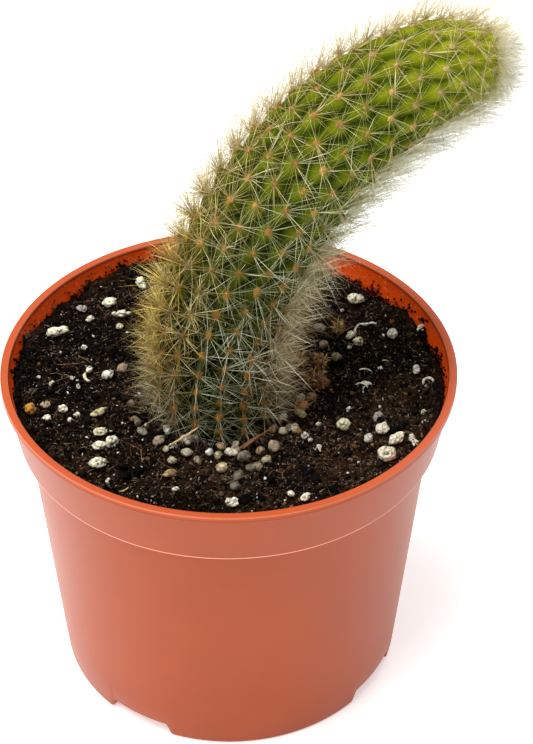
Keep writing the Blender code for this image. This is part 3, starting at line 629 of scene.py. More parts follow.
def tinted(name, roughness, darkest, size, strength=0.5, specular=0.4, coarse=0.15, cracks=0.0):
    # A natural grain in its own tint, with a mottle of the given size in millimetres and a fine bump,
    # and where cracks has a size in millimetres, dark wavy cracks round cells of that size.
    material, add = newMaterial(name)
    place = add("TexCoord").outputs["Object"]
    tint = add("Attribute", {"attribute_name": "tint"})
    mottle = add("TexNoise", {"Scale": 1 / (size * mm), "Detail": 4.0, "Roughness": 0.65},
                 {"Vector": place})
    shades = [(0.32, [darkest] * 3 + [1.0]), (0.6, [1.0] * 4)]
    shade = add("ValToRGB", links={0: mottle}, stops=shades)
    colour = add("Mix", multiplying, {6: tint, 7: shade})
    if cracks:
        bent = add("VectorMath", {"operation": "MULTIPLY_ADD", 1: [0.8 * mm] * 3},
                   {0: mottle.outputs["Color"], 2: place})
        cells = add("TexVoronoi", {"feature": "DISTANCE_TO_EDGE", "Scale": 1 / (cracks * mm)},
                    {"Vector": bent})
        line = add("MapRange", {1: 0.01, 2: 0.08, 3: 0.4, 4: 1.0}, {0: cells})
        colour = add("Mix", multiplying, {6: colour, 7: line})
    gloss = add("MapRange", {1: 0.35, 2: 0.65, 3: roughness - 0.15, 4: roughness + 0.1}, {0: mottle})
    bump = add("Bump", {"Strength": strength, "Distance": coarse * mm}, {"Height": mottle})
    shader = add("BsdfPrincipled", {"Specular IOR Level": specular},
                 {"Base Color": colour, "Roughness": gloss, "Normal": bump})
    add("OutputMaterial", links={0: shader})
    return material


makeSoilBed(peat())
crumbMaterial = tinted("peatCrumb", 0.75, 0.4, 0.5, specular=0.05)
# fine crumbs all over, then lumps that keep clear of the wall
crumbX, crumbY = scatter(soilSet["crumbs"], outer=41.4)
crumbSize = mixedSizes("peatCrumbs", len(crumbX))
makeCrumbs("peatCrumbs", crumbX, crumbY, crumbSize, 0.5, peatTints(crumbX, crumbY), crumbMaterial,
           0.3)
lumpX, lumpY = scatter(soilSet["lumps"], outer=41.2)
lumpSize = mixedSizes("peatLumps", len(lumpX))
lumpSize = np.minimum(lumpSize, 2 * (42.6 - np.hypot(lumpX, lumpY)))
lumpTints = np.where(draw.uniform(0, 1, (len(lumpX), 1)) < 0.12,
                     pickTints(["#20160F", "#2C1F16"], len(lumpX), 0.3),
                     pickTints(["#020101", "#050403", "#0A0807", "#15110E"], len(lumpX), 0.3))
makeCrumbs("peatLumps", lumpX, lumpY, lumpSize, 0.5, lumpTints, crumbMaterial, 0.15,
           form=finerSphere(0))
# crumbs that cling to the inner wall, fewer with height and never on the rim
wallSet = {"reach": 41.8, "rise": 2.0, "riseFall": 2.2, "topZ": 71.0, "sink": 0.3}
wallTurn = draw.uniform(-math.pi, math.pi, soilSet["wallCrumbs"])
wallSize = mixedSizes("wallCrumbs", len(wallTurn))
wallZ = soilHeight(wallSet["reach"] * np.cos(wallTurn), wallSet["reach"] * np.sin(wallTurn))
wallRise = wallSet["rise"] * draw.uniform(0, 1, len(wallTurn)) ** wallSet["riseFall"]
wallZ = np.minimum(wallZ + wallRise, wallSet["topZ"])
wallReach = wallRadius(wallZ) - wallSize * wallSet["sink"]
wallX, wallY = wallReach * np.cos(wallTurn), wallReach * np.sin(wallTurn)
makeCrumbs("wallCrumbs", wallX, wallY, wallSize, 0.5, peatTints(wallX, wallY), crumbMaterial,
           z=wallZ)
# chips of dry stalk and bark
chipX, chipY = scatter(soilSet["chips"])
makeCrumbs("plantChips", chipX, chipY, draw.uniform(0.3, 1.0, len(chipX)), 0.75,
           pickTints(["#4A2F1C", "#6B4829", "#8A6540", "#3A2415"], len(chipX), 0.25), crumbMaterial,
           0.5)
# pale specks, which are mineral dust and also painted glints on the moist peat, then broken bits of perlite
speckX, speckY = scatter(soilSet["specks"], inner=13.5)
makeCrumbs("soilSpecks", speckX, speckY, mixedSizes("soilSpecks", len(speckX)), 0.6,
           pickTints(["#6E6256", "#8C8174", "#B4A998", "#54483E", "#5E4C3C"], len(speckX), 0.25),
           crumbMaterial, 0.8)
dustX, dustY = scatter(soilSet["dust"], inner=15.0)
perliteCrumb = tinted("perliteCrumb", 0.85, 0.75, 0.5)
makeCrumbs("perliteDust", dustX, dustY, mixedSizes("perliteDust", len(dustX)), 0.6,
           pickTints(["#E4E0D4", "#D5CFBF", "#C3B9A4"], len(dustX)), perliteCrumb, 0.6)

# strands on the soil: rise and curl are shares of the length
fibreSet = {
    "peatFluff": {"count": 5200, "inner": 13.0, "outer": 41.2, "length": (0.5, 2.0), "width": (0.04, 0.1),
                  "rise": 0.7, "curl": 0.4, "segments": 2,
                  "tints": ("#0E0A08", "#1A120D", "#3A281A", "#5A402B", "#7A5E44", "#2C211A", "#94806A")},
    "plantFibres": {"count": 240, "inner": 14.0, "outer": 38.5, "length": (1.8, 6.5), "width": (0.04, 0.09),
                    "rise": 0.25, "curl": 0.45, "segments": 6,
                    "tints": ("#4B3120", "#6A482C", "#8A6641", "#A5845B", "#2E1D12")}}


def layFibres(name, material):
    # strands that lie on the crumbs in arcs: they set off along the soil, rise a little, curl to one
    # side and come down again
    s = fibreSet[name]
    x, y = scatter(s["count"], s["inner"], s["outer"])
    count = len(x)
    length = draw.uniform(*s["length"], count)
    turn = draw.uniform(0, 2 * math.pi, count)
    heading = stack(np.cos(turn), np.sin(turn), draw.uniform(0.0, s["rise"], count))
    # near the wall they turn back towards the middle
    reach = np.hypot(x, y)[:, None] / soilSet["wallAt"]
    heading = unit(heading - stack(x, y, 0) / soilSet["wallAt"] * reach ** 3)
    bend = stack(-np.sin(turn), np.cos(turn), 0) * draw.uniform(-s["curl"], s["curl"], (count, 1))
    bend[:, 2] = -heading[:, 2] * draw.uniform(0.6, 1.0, count)
    root = stack(x, y, soilHeight(x, y) + draw.uniform(0.1, 0.4, count)) + potAxis / mm
    width = draw.uniform(*s["width"], count)
    tints = {"tint": pickTints(s["tints"], count, 0.25)}
    makeStrands(name, root, heading, bend, length, width, s["segments"], material, tints)


fibreMaterial = tinted("coirFibre", 0.7, 0.6, 0.6, specular=0.1)
layFibres("peatFluff", fibreMaterial)
layFibres("plantFibres", fibreMaterial)

print("grains")
# pit depth as a share of the radius, pit size, sharpness of the hull's edges, splits of the sphere
grainStyle = {"perlite": (0.36, 1.0, 13.0, 4), "gravel": (0.15, 1.6, 9.0, 3),
              "bark_lump": (0.34, 1.2, 9.0, 4), "tan_clod": (0.28, 1.0, 8.0, 3), "husk": (0.3, 0.9, 8.0, 3),
              "feed_bead": (0.16, 1.3, 6.0, 3)}
# tints by kind, and by number where a grain differs from its kind
plainTints = {"perlite": "#E9E3C8", "gravel": "#C4B698", "bark_lump": "#7A5226", "tan_clod": "#A88448",
              "husk": "#A98C66", "feed_bead": "#D0932E"}
oddTints = {"perlite": {3: "#BDB8AC", 6: "#CDBF9C", 8: "#DAD6C9", 11: "#B9A583", 13: "#CFC290",
                        14: "#DDD5B0", 19: "#D8D3A4", 20: "#D0CBBD", 22: "#C9C4B6", 23: "#E2DDB6",
                        26: "#C4BFB2", 27: "#DDD6BC"},
            "gravel": {2: "#8F8778", 4: "#D9D4C6", 5: "#DCCFB2", 6: "#CDB88F", 7: "#B29468",
                       8: "#6E675A", 9: "#7C6F5C", 10: "#A99878", 13: "#C2B58A", 14: "#9A8B58",
                       15: "#8A8070", 16: "#857A58"}}
grainShifts = {"perlite_21": (1.2, 2.4, 1.9)}  # this one sits up on a clod at the wall


def pitted(shape, radius, depth, pitSize, seed):
    # pits and narrow cracks: a crack runs where the coarse noise passes zero, a pit where the fine one dips
    coarse = softNoise(shape + seed * 7.3, pitSize, 31)
    fine = softNoise(shape + seed * 3.1, pitSize * 0.45, 32)
    lobes = softNoise(shape + seed * 5.7, radius * 1.1, 34)
    cracked = smoothStep((softNoise(shape + seed, 1.4, 35) + 0.2) / 0.4)
    crack = smoothStep((0.14 - np.abs(coarse)) / 0.13) * cracked
    pit = np.clip(0.8 * crack + 1.3 * smoothStep((-fine - 0.15) / 0.5), 0, 1)
    scale = (1 - depth * pit) * (1 + 0.9 * depth * lobes) * (1 + 0.25 * depth * fine)
    return shape * scale[:, None], pit


def makeGrain(name, material, seed):
    # each ray ends where the model's own hull ends, rounded, then it is lobed, pitted and cracked
    kind, number = (name[:-3], int(name[-2:])) if name[-1].isdigit() else (name, 0)
    code = oddTints.get(kind, {}).get(number, plainTints[kind])
    depth, pitSize, sharpness, splits = grainStyle[kind]
    low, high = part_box(name)
    radius = (high.x - low.x + high.y - low.y + high.z - low.z) / 6 / mm
    rays, faces = finerSphere(splits if radius > 1.7 else 3)
    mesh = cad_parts[name].data
    normals = np.array([p.normal for p in mesh.polygons])
    centres = np.array([p.center for p in mesh.polygons]) / mm
    middle = np.array(low + high) / 2 / mm
    offset = np.einsum("ij,ij->i", normals, centres - middle)
    pull = np.clip(rays @ normals.T / offset, 0, None)
    shape = rays * ((pull ** sharpness).sum(axis=1) ** (-1 / sharpness))[:, None]
    shape, pit = pitted(shape, radius, depth, pitSize, seed)
    points = (shape + middle + grainShifts.get(name, (0, 0, 0))) * mm
    under = smoothStep((-rays[:, 2] - 0.1) / 0.6)
    grime = 0.4 if kind == "gravel" else 0.95
    dirt = np.clip(smoothStep((pit - 0.2) / 0.5) * grime + 0.6 * under, 0, 0.95)
    dirt = dirt * (0.65 + 0.35 * softNoise(shape + seed, 1.1, 33))
    tint = blendTints(code, "#241910", dirt)
    words = name.split("_")
    label = words[0] + "".join(word.capitalize() for word in words[1:]) + "Fine"
    return makePiece(label, points, [faces], material, [name],
                     values={"tint": tint})


# small loose bits between the modelled grains: x and y from the pot's axis, size and tint
smallPerlite = ((-23.6, 22.6, 1.5, "#DFD8C0"), (-38.1, 2.9, 1.0, "#D8CFB4"), (-35.3, 0.2, 1.3, "#E8E2CA"),
                (-30.2, 0.9, 1.1, "#E8E2CA"), (-29.8, -9.5, 1.4, "#E3DCC2"), (-31.1, -10.8, 1.0, "#E8E2CA"),
                (-22.7, -16.9, 2.3, "#E8E2CA"), (-22.8, -28.2, 1.2, "#E2D9BE"),
                (-10.2, -30.8, 1.1, "#E8E2CA"), (23.6, 23.6, 1.2, "#E8E2CA"), (24.5, 12.1, 1.1, "#D8D6C6"),
                (23.6, -5.8, 1.0, "#F0EAD6"), (17.5, -9.0, 1.1, "#E9E3CC"), (29.1, -9.6, 1.9, "#A99F90"),
                (35.2, -17.0, 1.9, "#E8E2CA"), (37.9, -9.5, 1.4, "#E3DCC2"), (14.7, -13.3, 1.6, "#E9E3CE"),
                (15.6, -14.4, 1.2, "#E9E3CE"), (17.0, -18.6, 1.5, "#F1ECDA"), (5.4, -33.3, 0.9, "#E9E3CE"),
                (-10.1, -30.5, 1.0, "#E8E2CA"), (-29.4, 12.1, 1.1, "#E8E2CA"),
                (-28.5, 22.2, 1.2, "#D6D0C2"), (-31.5, 2.6, 0.8, "#E8E2CA"))
smallPebbles = ((-21.6, 7.5, 2.2, "#A88F70"), (-18.5, -8.3, 2.2, "#8A7C68"), (-19.6, -2.5, 1.9, "#7D6A56"),
                (-2.2, -17.9, 1.6, "#C0AE90"), (2.8, -20.2, 2.4, "#857A66"), (1.5, -26.2, 2.7, "#6C6456"),
                (5.9, -16.6, 1.9, "#A48C69"), (7.1, -19.7, 1.8, "#BFAE8C"), (11.9, -9.4, 2.2, "#A39072"),
                (13.2, -10.6, 1.9, "#A9763E"), (5.4, -22.2, 1.9, "#9C8A6C"), (-13.8, -14.6, 1.9, "#B9A68A"),
                (16.4, -1.2, 2.0, "#8F6A3E"), (14.9, 5.6, 2.2, "#A08058"), (13.4, -4.4, 1.7, "#C0A67A"),
                (-6.2, -20.6, 1.8, "#9C866A"), (19.4, 14.2, 1.8, "#998A70"), (8.8, -14.2, 1.5, "#8C7250"))

# loose bark and clay beside the modelled lump and clod
footClods = ((14.2, -3.6, 3.2, "#A8743A"), (17.2, 4.6, 3.2, "#D8B47C"), (15.2, 9.6, 2.6, "#6E4624"),
             (14.2, 12.0, 2.8, "#6A4A30"))


def makeBits(name, bits, depth, lift, material):
    # lumps on a finer sphere, lobed and pitted in the same way, each with its own size and tint
    rays, faces = finerSphere(2)
    grime = 0.4 if depth < 0.2 else 1.0
    allPoints, allTints = [], []
    for number, (x, y, size, code) in enumerate(bits):
        radius = size / 2
        stretch = 1 + draw.uniform(-0.3, 0.3, 3)
        shape = (rays * radius * stretch) @ turnedRandomly(1)[0].T
        shape, pit = pitted(shape, radius, depth, size * 0.5, number + 40)
        allPoints.append(shape + [x, y, groundAt(x, y) + lift * size])
        allTints.append(blendTints(code, "#241910", np.clip(0.85 * pit, 0, 1) * grime))
    allFaces = repeated(faces, len(rays), len(bits))
    return makePiece(name, np.concatenate(allPoints) * mm + potAxis, [allFaces], material,
                     values={"tint": np.concatenate(allTints)})


# Perlite: volcanic glass popped by heat, chalk white and pitted. Gravel: river washed quartz and
# limestone, smooth and dusty. The rest is bark, clay and husk, and one pressed feed bead.
perliteMaterial = tinted("poppedPerlite", 0.85, 0.84, 0.6, 0.6, 0.3, cracks=1.9)
gravelMaterial = tinted("washedGravel", 0.7, 0.42, 0.9, 0.6, 0.3, cracks=1.9)
lumpMaterial = tinted("barkAndClay", 0.78, 0.45, 0.8, 0.8, coarse=0.3)
for number, grainName in enumerate(grainNames):
    chosen = {"p": perliteMaterial, "g": gravelMaterial}.get(grainName[0], lumpMaterial)
    makeGrain(grainName, chosen, number)
makeBits("smallPerlite", smallPerlite, 0.4, 0.25, perliteMaterial)
makeBits("smallPebbles", smallPebbles, 0.16, 0.2, gravelMaterial)
makeBits("footClods", footClods, 0.34, 0.15, lumpMaterial)
# more pebbles pressed into the soil close round the stem's foot
pebbleSet = {"count": 24, "turnRad": (-2.6, 0.9), "reach": (13.6, 18.0), "size": (1.0, 2.2),
             "tints": ("#D0C4A8", "#B8AC98", "#E4DCC8", "#8C8070", "#B09468", "#ECE6D8")}
pebbleTurn = draw.uniform(*pebbleSet["turnRad"], pebbleSet["count"])
pebbleReach = draw.uniform(*pebbleSet["reach"], pebbleSet["count"])
footPebbles = [(soilSet["footX"] + reach * math.cos(turn), reach * math.sin(turn),
                draw.uniform(*pebbleSet["size"]), pebbleSet["tints"][draw.integers(6)])
               for turn, reach in zip(pebbleTurn, pebbleReach)]
makeBits("footPebbles", footPebbles, 0.18, 0.15, gravelMaterial)
fuzzSet = {"count": 150, "length": (0.7, 1.8), "width": (0.05, 0.1)}


def makeBarkFuzz(material):
    # torn fibres that stand out of the bark and clods, each set off from the lump's middle
    lumps = [(x, y, groundAt(x, y) + 0.4, size / 2) for x, y, size, _ in footClods]
    for name in ("bark_lump", "tan_clod", "husk"):
        low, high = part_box(name)
        centre = (np.array(low + high) / 2 - potAxis) / mm
        lumps.append((*centre, (high.x - low.x) / 2 / mm))
    count = fuzzSet["count"]
    middle = np.repeat(np.array(lumps), count, axis=0)
    way = unit(draw.normal(size=(len(middle), 3)) + [0, 0, 0.7])
    root = middle[:, :3] + way * middle[:, 3:] * 0.75
    heading = unit(way + draw.normal(size=(len(middle), 3)) * 0.7)
    bend = draw.normal(size=(len(middle), 3)) * 0.25
    length = draw.uniform(*fuzzSet["length"], len(middle))
    width = draw.uniform(*fuzzSet["width"], len(middle))
    tint = pickTints(["#5A3818", "#A0682C", "#D8A054", "#F8DCA8"], len(middle), 0.3)
    makeStrands("barkFuzz", root + potAxis / mm, heading, bend, length, width, 2, material, {"tint": tint})


makeBarkFuzz(fibreMaterial)


def makeCurl(name, x, y, radius, startDeg, sweepDeg, thickness, tilt, code):
    # a thin shaving of popped glass: part of a ring, laid on the soil with one side tipped up
    turn = np.radians(startDeg + np.linspace(0, sweepDeg, 6))
    ground = groundAt(x, y) + thickness + 0.25
    path = stack(x + radius * np.cos(turn), y + radius * np.sin(turn), ground + tilt * (1 + np.sin(turn)))
    makeTube(name, path, thickness, 6, 22, perliteMaterial, tint=code, ragged=0.35)


wavyLine = ((26.1, 16.2), (26.0, 17.1), (26.9, 17.6), (28.1, 17.0), (29.4, 17.0), (30.3, 16.6))
wavyPath = [(x, y, groundAt(x, y) + 0.7) for x, y in wavyLine]
makeTube("curlWavy", wavyPath, 0.27, 6, 24, perliteMaterial, tint="#EAE7DC", ragged=0.6)
# name, x and y, radius, where it starts and how far it turns in degrees, half thickness, tilt and tint
curls = (("curlSliver", 27.2, 3.7, 1.9, 40, 80, 0.15, 0.2, "#EAE7DC"),
         ("curlFlake", 26.2, -1.0, 1.5, 20, 110, 0.17, 0.4, "#EAE7DC"),
         ("curlFork", 27.8, -0.8, 1.2, 120, 90, 0.15, 0.3, "#EAE7DC"),
         ("curlRing", 39.5, -2.0, 1.1, -10, 200, 0.3, 0.5, "#E6E2D2"),
         ("curlYellow", 31.6, 6.5, 1.2, 60, 60, 0.12, 0.1, "#CFC690"),
         ("curlCrescent", -27.6, 3.9, 1.4, 150, 110, 0.34, 0.3, "#DDD4AE"),
         ("curlTan", -20.9, -29.2, 2.2, 250, 80, 0.14, 0.3, "#C9AE80"),
         ("curlTanTwo", -20.2, -30.4, 2.6, 220, 70, 0.1, 0.5, "#D8C297"))
for curl in curls:
    makeCurl(*curl)


def stalkSkin(name, code):
    # Dry stalk: matt, with darker streaks 0.5 mm apart.
    material, add = newMaterial(name)
    place = add("TexCoord").outputs["Object"]
    streak = add("TexNoise", {"Scale": 1 / (0.5 * mm), "Detail": 3.0}, {"Vector": place})
    dark = [channel * 0.45 for channel in linear(code)[:3]] + [1.0]
    colour = add("ValToRGB", links={0: streak}, stops=[(0.35, dark), (0.6, code)])
    bump = add("Bump", {"Strength": 0.4, "Distance": 0.1 * mm}, {"Height": streak})
    shader = add("BsdfPrincipled", {"Roughness": 0.65}, {"Base Color": colour, "Normal": bump})
    add("OutputMaterial", links={0: shader})
    return material


strawPath = ((-11.9, -15.9, 64.0), (-10.4, -15.8, 65.0), (-8.4, -15.5, 66.3), (-6.0, -14.9, 67.9))
twigPath = ((1.9, -16.8, 63.9), (4.0, -15.6, 64.6), (6.6, -14.4, 65.8))
makeTube("strawFine", strawPath, 0.24, 8, 26, stalkSkin("dryStraw", "#CDB07E"), ["straw"])
twigSkin = stalkSkin("dryBarkSliver", "#805024")
makeTube("twigFine", twigPath, 0.42, 8, 24, twigSkin, ["twig"], ragged=0.3)
splinters = (((2.6, -16.9, 64.0), (6.2, -14.9, 66.1)), ((3.4, -15.6, 64.5), (8.2, -13.6, 66.4)))
for number, ends in enumerate(splinters):
    makeTube("twigSplinter%d" % number, ends, 0.16, 6, 14, twigSkin, ragged=0.3)

print("cactus")
stemSet = {"footX": -1.9, "footZ": 61.5, "planeDeg": 9.0, "length": 101.8, "startLeanDeg": -7.4,
           "bendDegPerMm": (0.75, 0.94, 0.57, 1.1, 2.2), "radii": (12.5, 12.35, 12.2, 10.9, 8.3),
           "dome": 14.0, "root": 6.0, "rootRadius": 12.4, "ribs": 16, "ribTurnDeg": -53.0,
           "ribTwistDeg": 23.6, "stepPlaces": (0.0, 22.0, 52.0, 82.0, 94.0, 106.0),
           "stepSizes": (3.1, 4.6, 5.0, 4.8, 3.7, 1.7), "firstRow": 0.2, "groove": 1.3, "saddle": 0.66,
           "blend": 0.14, "peakAt": -0.08, "notchAt": 0.22, "columns": 224, "rowStep": 0.42}
stemAlong = np.linspace(0, stemSet["length"], 600)


def runningSum(values):
    # trapezoid sum from the foot up
    return np.concatenate([[0.0], np.cumsum((values[1:] + values[:-1]) / 2 * np.diff(stemAlong))])


stations = np.linspace(0, stemSet["length"], 5)
stemBend = np.radians(np.interp(stemAlong, stations, stemSet["bendDegPerMm"]))
stemLean = math.radians(stemSet["startLeanDeg"]) + runningSum(stemBend)
stemReach = runningSum(np.sin(stemLean))
stemRise = runningSum(np.cos(stemLean))
intoDome = np.clip((stemAlong - stemSet["length"] + stemSet["dome"]) / stemSet["dome"], 0, 1)
stemRadius = np.interp(stemAlong, stations, stemSet["radii"]) * np.sqrt(1 - intoDome ** 2)
stemSkin = np.concatenate([[0.0], np.cumsum(np.hypot(np.diff(stemAlong), np.diff(stemRadius)))])
planeTurn = math.radians(stemSet["planeDeg"])
stemOut = np.array([math.cos(planeTurn), math.sin(planeTurn), 0.0])
stemFront = np.array([math.sin(planeTurn), -math.cos(planeTurn), 0.0])
stemUp = np.array([0.0, 0.0, 1.0])


def stemFrame(skin):
    # centre, direction and inner side at a distance along the skin, in millimetres
    along = np.interp(skin, stemSkin, stemAlong)
    lean = np.interp(along, stemAlong, stemLean)[..., None]
    reach = np.interp(along, stemAlong, stemReach)[..., None]
    rise = (np.interp(along, stemAlong, stemRise) + np.minimum(skin, 0))[..., None]
    foot = np.array([potX / mm + stemSet["footX"], potY / mm, stemSet["footZ"]])
    centre = foot + stemOut * reach + stemUp * rise
    direction = stemOut * np.sin(lean) + stemUp * np.cos(lean)
    inner = -np.cross(stemFront, direction)
    return centre, direction, inner, along


# each next row of areoles is half a step up, since the ribs take turns
rowSkins = [stemSet["firstRow"]]
while rowSkins[-1] < stemSkin[-1] - 1.6:
    step = np.interp(rowSkins[-1], stemSet["stepPlaces"], stemSet["stepSizes"])
    rowSkins.append(rowSkins[-1] + 0.5 * step)
rowSkins = np.array(rowSkins[:-1])


def tubercleHeight(skin, ribPlace):
    # height under the crest radius: each rib is a row of skewed bumps, high just before an areole and
    # notched just after it, falling off to the groove; the two nearest ribs meet in a smooth maximum
    s = stemSet
    row = np.interp(skin, rowSkins, np.arange(len(rowSkins)))
    row = row + np.minimum(skin - rowSkins[0], 0) / (rowSkins[1] - rowSkins[0])
    row = row + np.maximum(skin - rowSkins[-1], 0) / (rowSkins[-1] - rowSkins[-2])
    lower = np.floor(ribPlace)
    pushes = []
    for rib in (lower, lower + 1):
        phase = (row + rib) / 2
        gap = phase - np.round(phase)
        fall = s["notchAt"] - s["peakAt"]
        after = np.mod(gap - s["notchAt"], 1.0)
        turn = np.where(after > 1 - fall, (after - 1 + fall) / fall * 0.5, 0.5 + after / (1 - fall) * 0.5)
        crest = 0.5 + 0.5 * np.cos(2 * math.pi * turn)
        away = np.abs(ribPlace - rib) / (0.5 + 0.1 * (crest - 0.5))
        pushes.append(-s["saddle"] * (1 - crest) - s["groove"] * away ** 1.7)
    blend = s["blend"]
    peak = np.maximum(*pushes)
    return peak + blend * np.log(np.exp((pushes[0] - peak) / blend) + np.exp((pushes[1] - peak) / blend))


def stemPoint(skin, ribPlace):
    # a place on the skin at a rib number: centre + ray * (radius + tubercle height), where the ray turns
    # with the rib number and twists on its way up
    centre, _, inner, along = stemFrame(skin)
    radius = np.where(skin < 0, stemSet["rootRadius"] + 0.02 * skin, np.interp(along, stemAlong, stemRadius))
    # the bumps shrink with the radius, fade out under the soil, and are a fifth lower near the tip
    size = radius / stemSet["radii"][0]
    fade = smoothStep(skin / 3.0 + 0.4)
    low = 1 - 0.2 * smoothStep((skin / stemSkin[-1] - 0.74) / 0.2)
    height = tubercleHeight(skin, ribPlace) * size * fade * low
    turn = 2 * math.pi * ribPlace / stemSet["ribs"]
    turn = turn + math.radians(stemSet["ribTurnDeg"]) + math.radians(stemSet["ribTwistDeg"]) * along / 100
    ray = stemFront * np.cos(turn)[..., None] + inner * np.sin(turn)[..., None]
    return centre + ray * np.maximum(radius + height, 0.02)[..., None], height, ray


def stemNormal(skin, ribPlace):
    # across the smooth stem, without the bumps
    low, _, ray = stemPoint(skin - 0.5, ribPlace)
    high = stemPoint(np.minimum(skin + 0.5, stemSkin[-1] - 0.05), ribPlace)[0]
    slope = unit(high - low)
    return unit(ray - slope * np.sum(ray * slope, axis=-1, keepdims=True)), slope


def makeStem(material):
    # rows along the skin and columns round the stem, each at its stemPoint with a fine roughness; a fan
    # closes the foot and another the tip
    s = stemSet
    skin = np.arange(-s["root"], stemSkin[-1] - 0.3, s["rowStep"])
    ribPlace = np.arange(s["columns"]) * s["ribs"] / s["columns"]
    skinGrid, ribGrid = np.meshgrid(skin, ribPlace, indexing="ij")
    places, height, _ = stemPoint(skinGrid, ribGrid)
    places = places + unit(places - stemFrame(skinGrid)[0]) * (0.07 * softNoise(places, 1.1, 12))[..., None]
    tip = stemFrame(np.array([stemSkin[-1]]))[0]
    root = stemFrame(np.array([-s["root"]]))[0]
    points = np.concatenate([places.reshape(-1, 3), root, tip])
    total = skinGrid.size
    faces = [gridFaces(len(skin), s["columns"]), fanFaces(0, s["columns"], total, True),
             fanFaces((len(skin) - 1) * s["columns"], s["columns"], total + 1)]
    crest = np.clip(1 + height.ravel() / 1.9, 0, 1)
    climb = skinGrid.ravel() / stemSkin[-1]
    values = {"crest": np.concatenate([crest, [1, 1]]), "climb": np.concatenate([climb, [0, 1]])}
    return makePiece("cactusStem", points * mm, faces, material, ["cactus"], values=values)


def cactusSkin():
    # Cactus skin: waxy and smooth, yellow green on new growth at the tip and darker and duller towards the
    # foot, partly with age and partly as painted shade where little light reaches the low stem. The skin runs
    # from darkest in the grooves between the tubercles to lightest on the crests: painted shade and painted
    # highlight.
    material, add = newMaterial("waxyCactusSkin")
    place = add("TexCoord").outputs["Object"]
    crest = add("Attribute", {"attribute_name": "crest"}).outputs["Fac"]
    climb = add("Attribute", {"attribute_name": "climb"}).outputs["Fac"]
    # painted shade and painted highlight: each ramp runs from dark in the grooves to light on the crests
    tip = add("ValToRGB", links={0: crest}, stops=[(0.15, "#344000"), (0.55, "#667400"), (0.95, "#A0A010")])
    young = add("ValToRGB", links={0: crest}, stops=[(0.15, "#162200"), (0.55, "#3C4C00"), (0.95, "#687204")])
    old = add("ValToRGB", links={0: crest}, stops=[(0.1, "#050701"), (0.5, "#161C02"), (0.95, "#2C3206")])
    # darker towards the foot, partly with age and partly painted shade where little light reaches the low
    # stem
    age = add("MapRange", {1: 0.22, 2: 0.62}, {0: climb})
    new = add("MapRange", {1: 0.72, 2: 1.0}, {0: climb})
    grown = add("Mix", mixing, {0: age, 6: old, 7: young})
    mixed = add("Mix", mixing, {0: new, 6: grown, 7: tip})
    mottle = add("TexNoise", {"Scale": 1 / (2.4 * mm), "Detail": 3.0}, {"Vector": place})
    tone = add("MapRange", {1: 0.3, 2: 0.7, 3: 0.72, 4: 1.18}, {0: mottle})
    colour = add("Mix", multiplying, {6: mixed, 7: tone})
    # pores 0.4 mm apart, coarser than the real ones so that they show
    pores = add("TexVoronoi", {"Scale": 1 / (0.4 * mm)}, {"Vector": place})
    bump = add("Bump", {"Strength": 0.15, "Distance": 0.05 * mm}, {"Height": pores})
    shader = add("BsdfPrincipled", {"Roughness": 0.5, "IOR": 1.42, "Specular IOR Level": 0.06},
                 {"Base Color": colour, "Normal": bump})
    add("OutputMaterial", links={0: shader})
    return material


makeStem(cactusSkin())

areoleRow, areoleRib = np.meshgrid(np.arange(len(rowSkins)), np.arange(stemSet["ribs"]), indexing="ij")
isAreole = ((areoleRow + areoleRib) % 2 == 0) & (rowSkins[areoleRow] > 0.9)
areoleSkin = rowSkins[areoleRow[isAreole]]
areoleRibs = areoleRib[isAreole].astype(float)
areolePlace, _, _ = stemPoint(areoleSkin, areoleRibs)
areoleNormal, areoleSlope = stemNormal(areoleSkin, areoleRibs)
areoleAcross = np.cross(areoleSlope, areoleNormal)
areoleClimb = areoleSkin / stemSkin[-1]
innerWay = stemFrame(areoleSkin)[2]
areoleInner = np.sum(areoleNormal * innerWay, axis=-1)
areoleFront = areoleNormal @ stemFront
print("areoles", len(areoleSkin))


def feltTints(pick):
    # felt is orange tan on old areoles and cream on new ones
    tint = blendTints("#A4701A", "#BC904A", smoothStep((areoleClimb[pick] - 0.15) / 0.5))
    fresh = smoothStep((areoleClimb[pick] - 0.65) / 0.3)[:, None]
    tint = tint * (1 - fresh) + np.array(linear("#DCC08A")) * fresh
    tint[:, :3] *= draw.uniform(0.7, 1.25, (len(pick), 1))
    return np.clip(tint, 0, 1)


def makePads(material):
    # felted cushions: three rings of seven points, a top and a foot, jittered, wider along the rib
    count, sides = len(areoleSkin), 7
    turn = around(sides)
    levels = ((0.9, -0.7), (1.0, 0.1), (0.7, 0.75))
    rings = [stack(np.cos(turn) * radius, np.sin(turn) * radius, z) for radius, z in levels]
    shape = np.concatenate([*rings, [[0, 0, 1.0], [0, 0, -0.7]]])
    shape = shape[None] * draw.uniform(0.65, 1.3, (count, len(shape), 1))
    width = np.interp(areoleClimb, (0, 0.6, 0.85, 1), (0.7, 0.64, 0.48, 0.25))
    width = width * draw.uniform(0.75, 1.2, count)
    axes = np.stack([areoleAcross, areoleSlope * 1.3, areoleNormal * 0.6], axis=1)
    points = areolePlace[:, None] + np.einsum("nki,nij->nkj", shape * width[:, None, None], axes)
    top = 3 * sides
    faces = np.concatenate([fanFaces(2 * sides, sides, top), fanFaces(0, sides, top + 1, True)])
    groups = [repeated(gridFaces(3, sides), top + 2, count), repeated(faces, top + 2, count)]
    tint = feltTints(np.arange(count))
    return makePiece("areolePads", points.reshape(-1, 3) * mm, groups, material,
                     values={"tint": np.repeat(tint, top + 2, axis=0)})


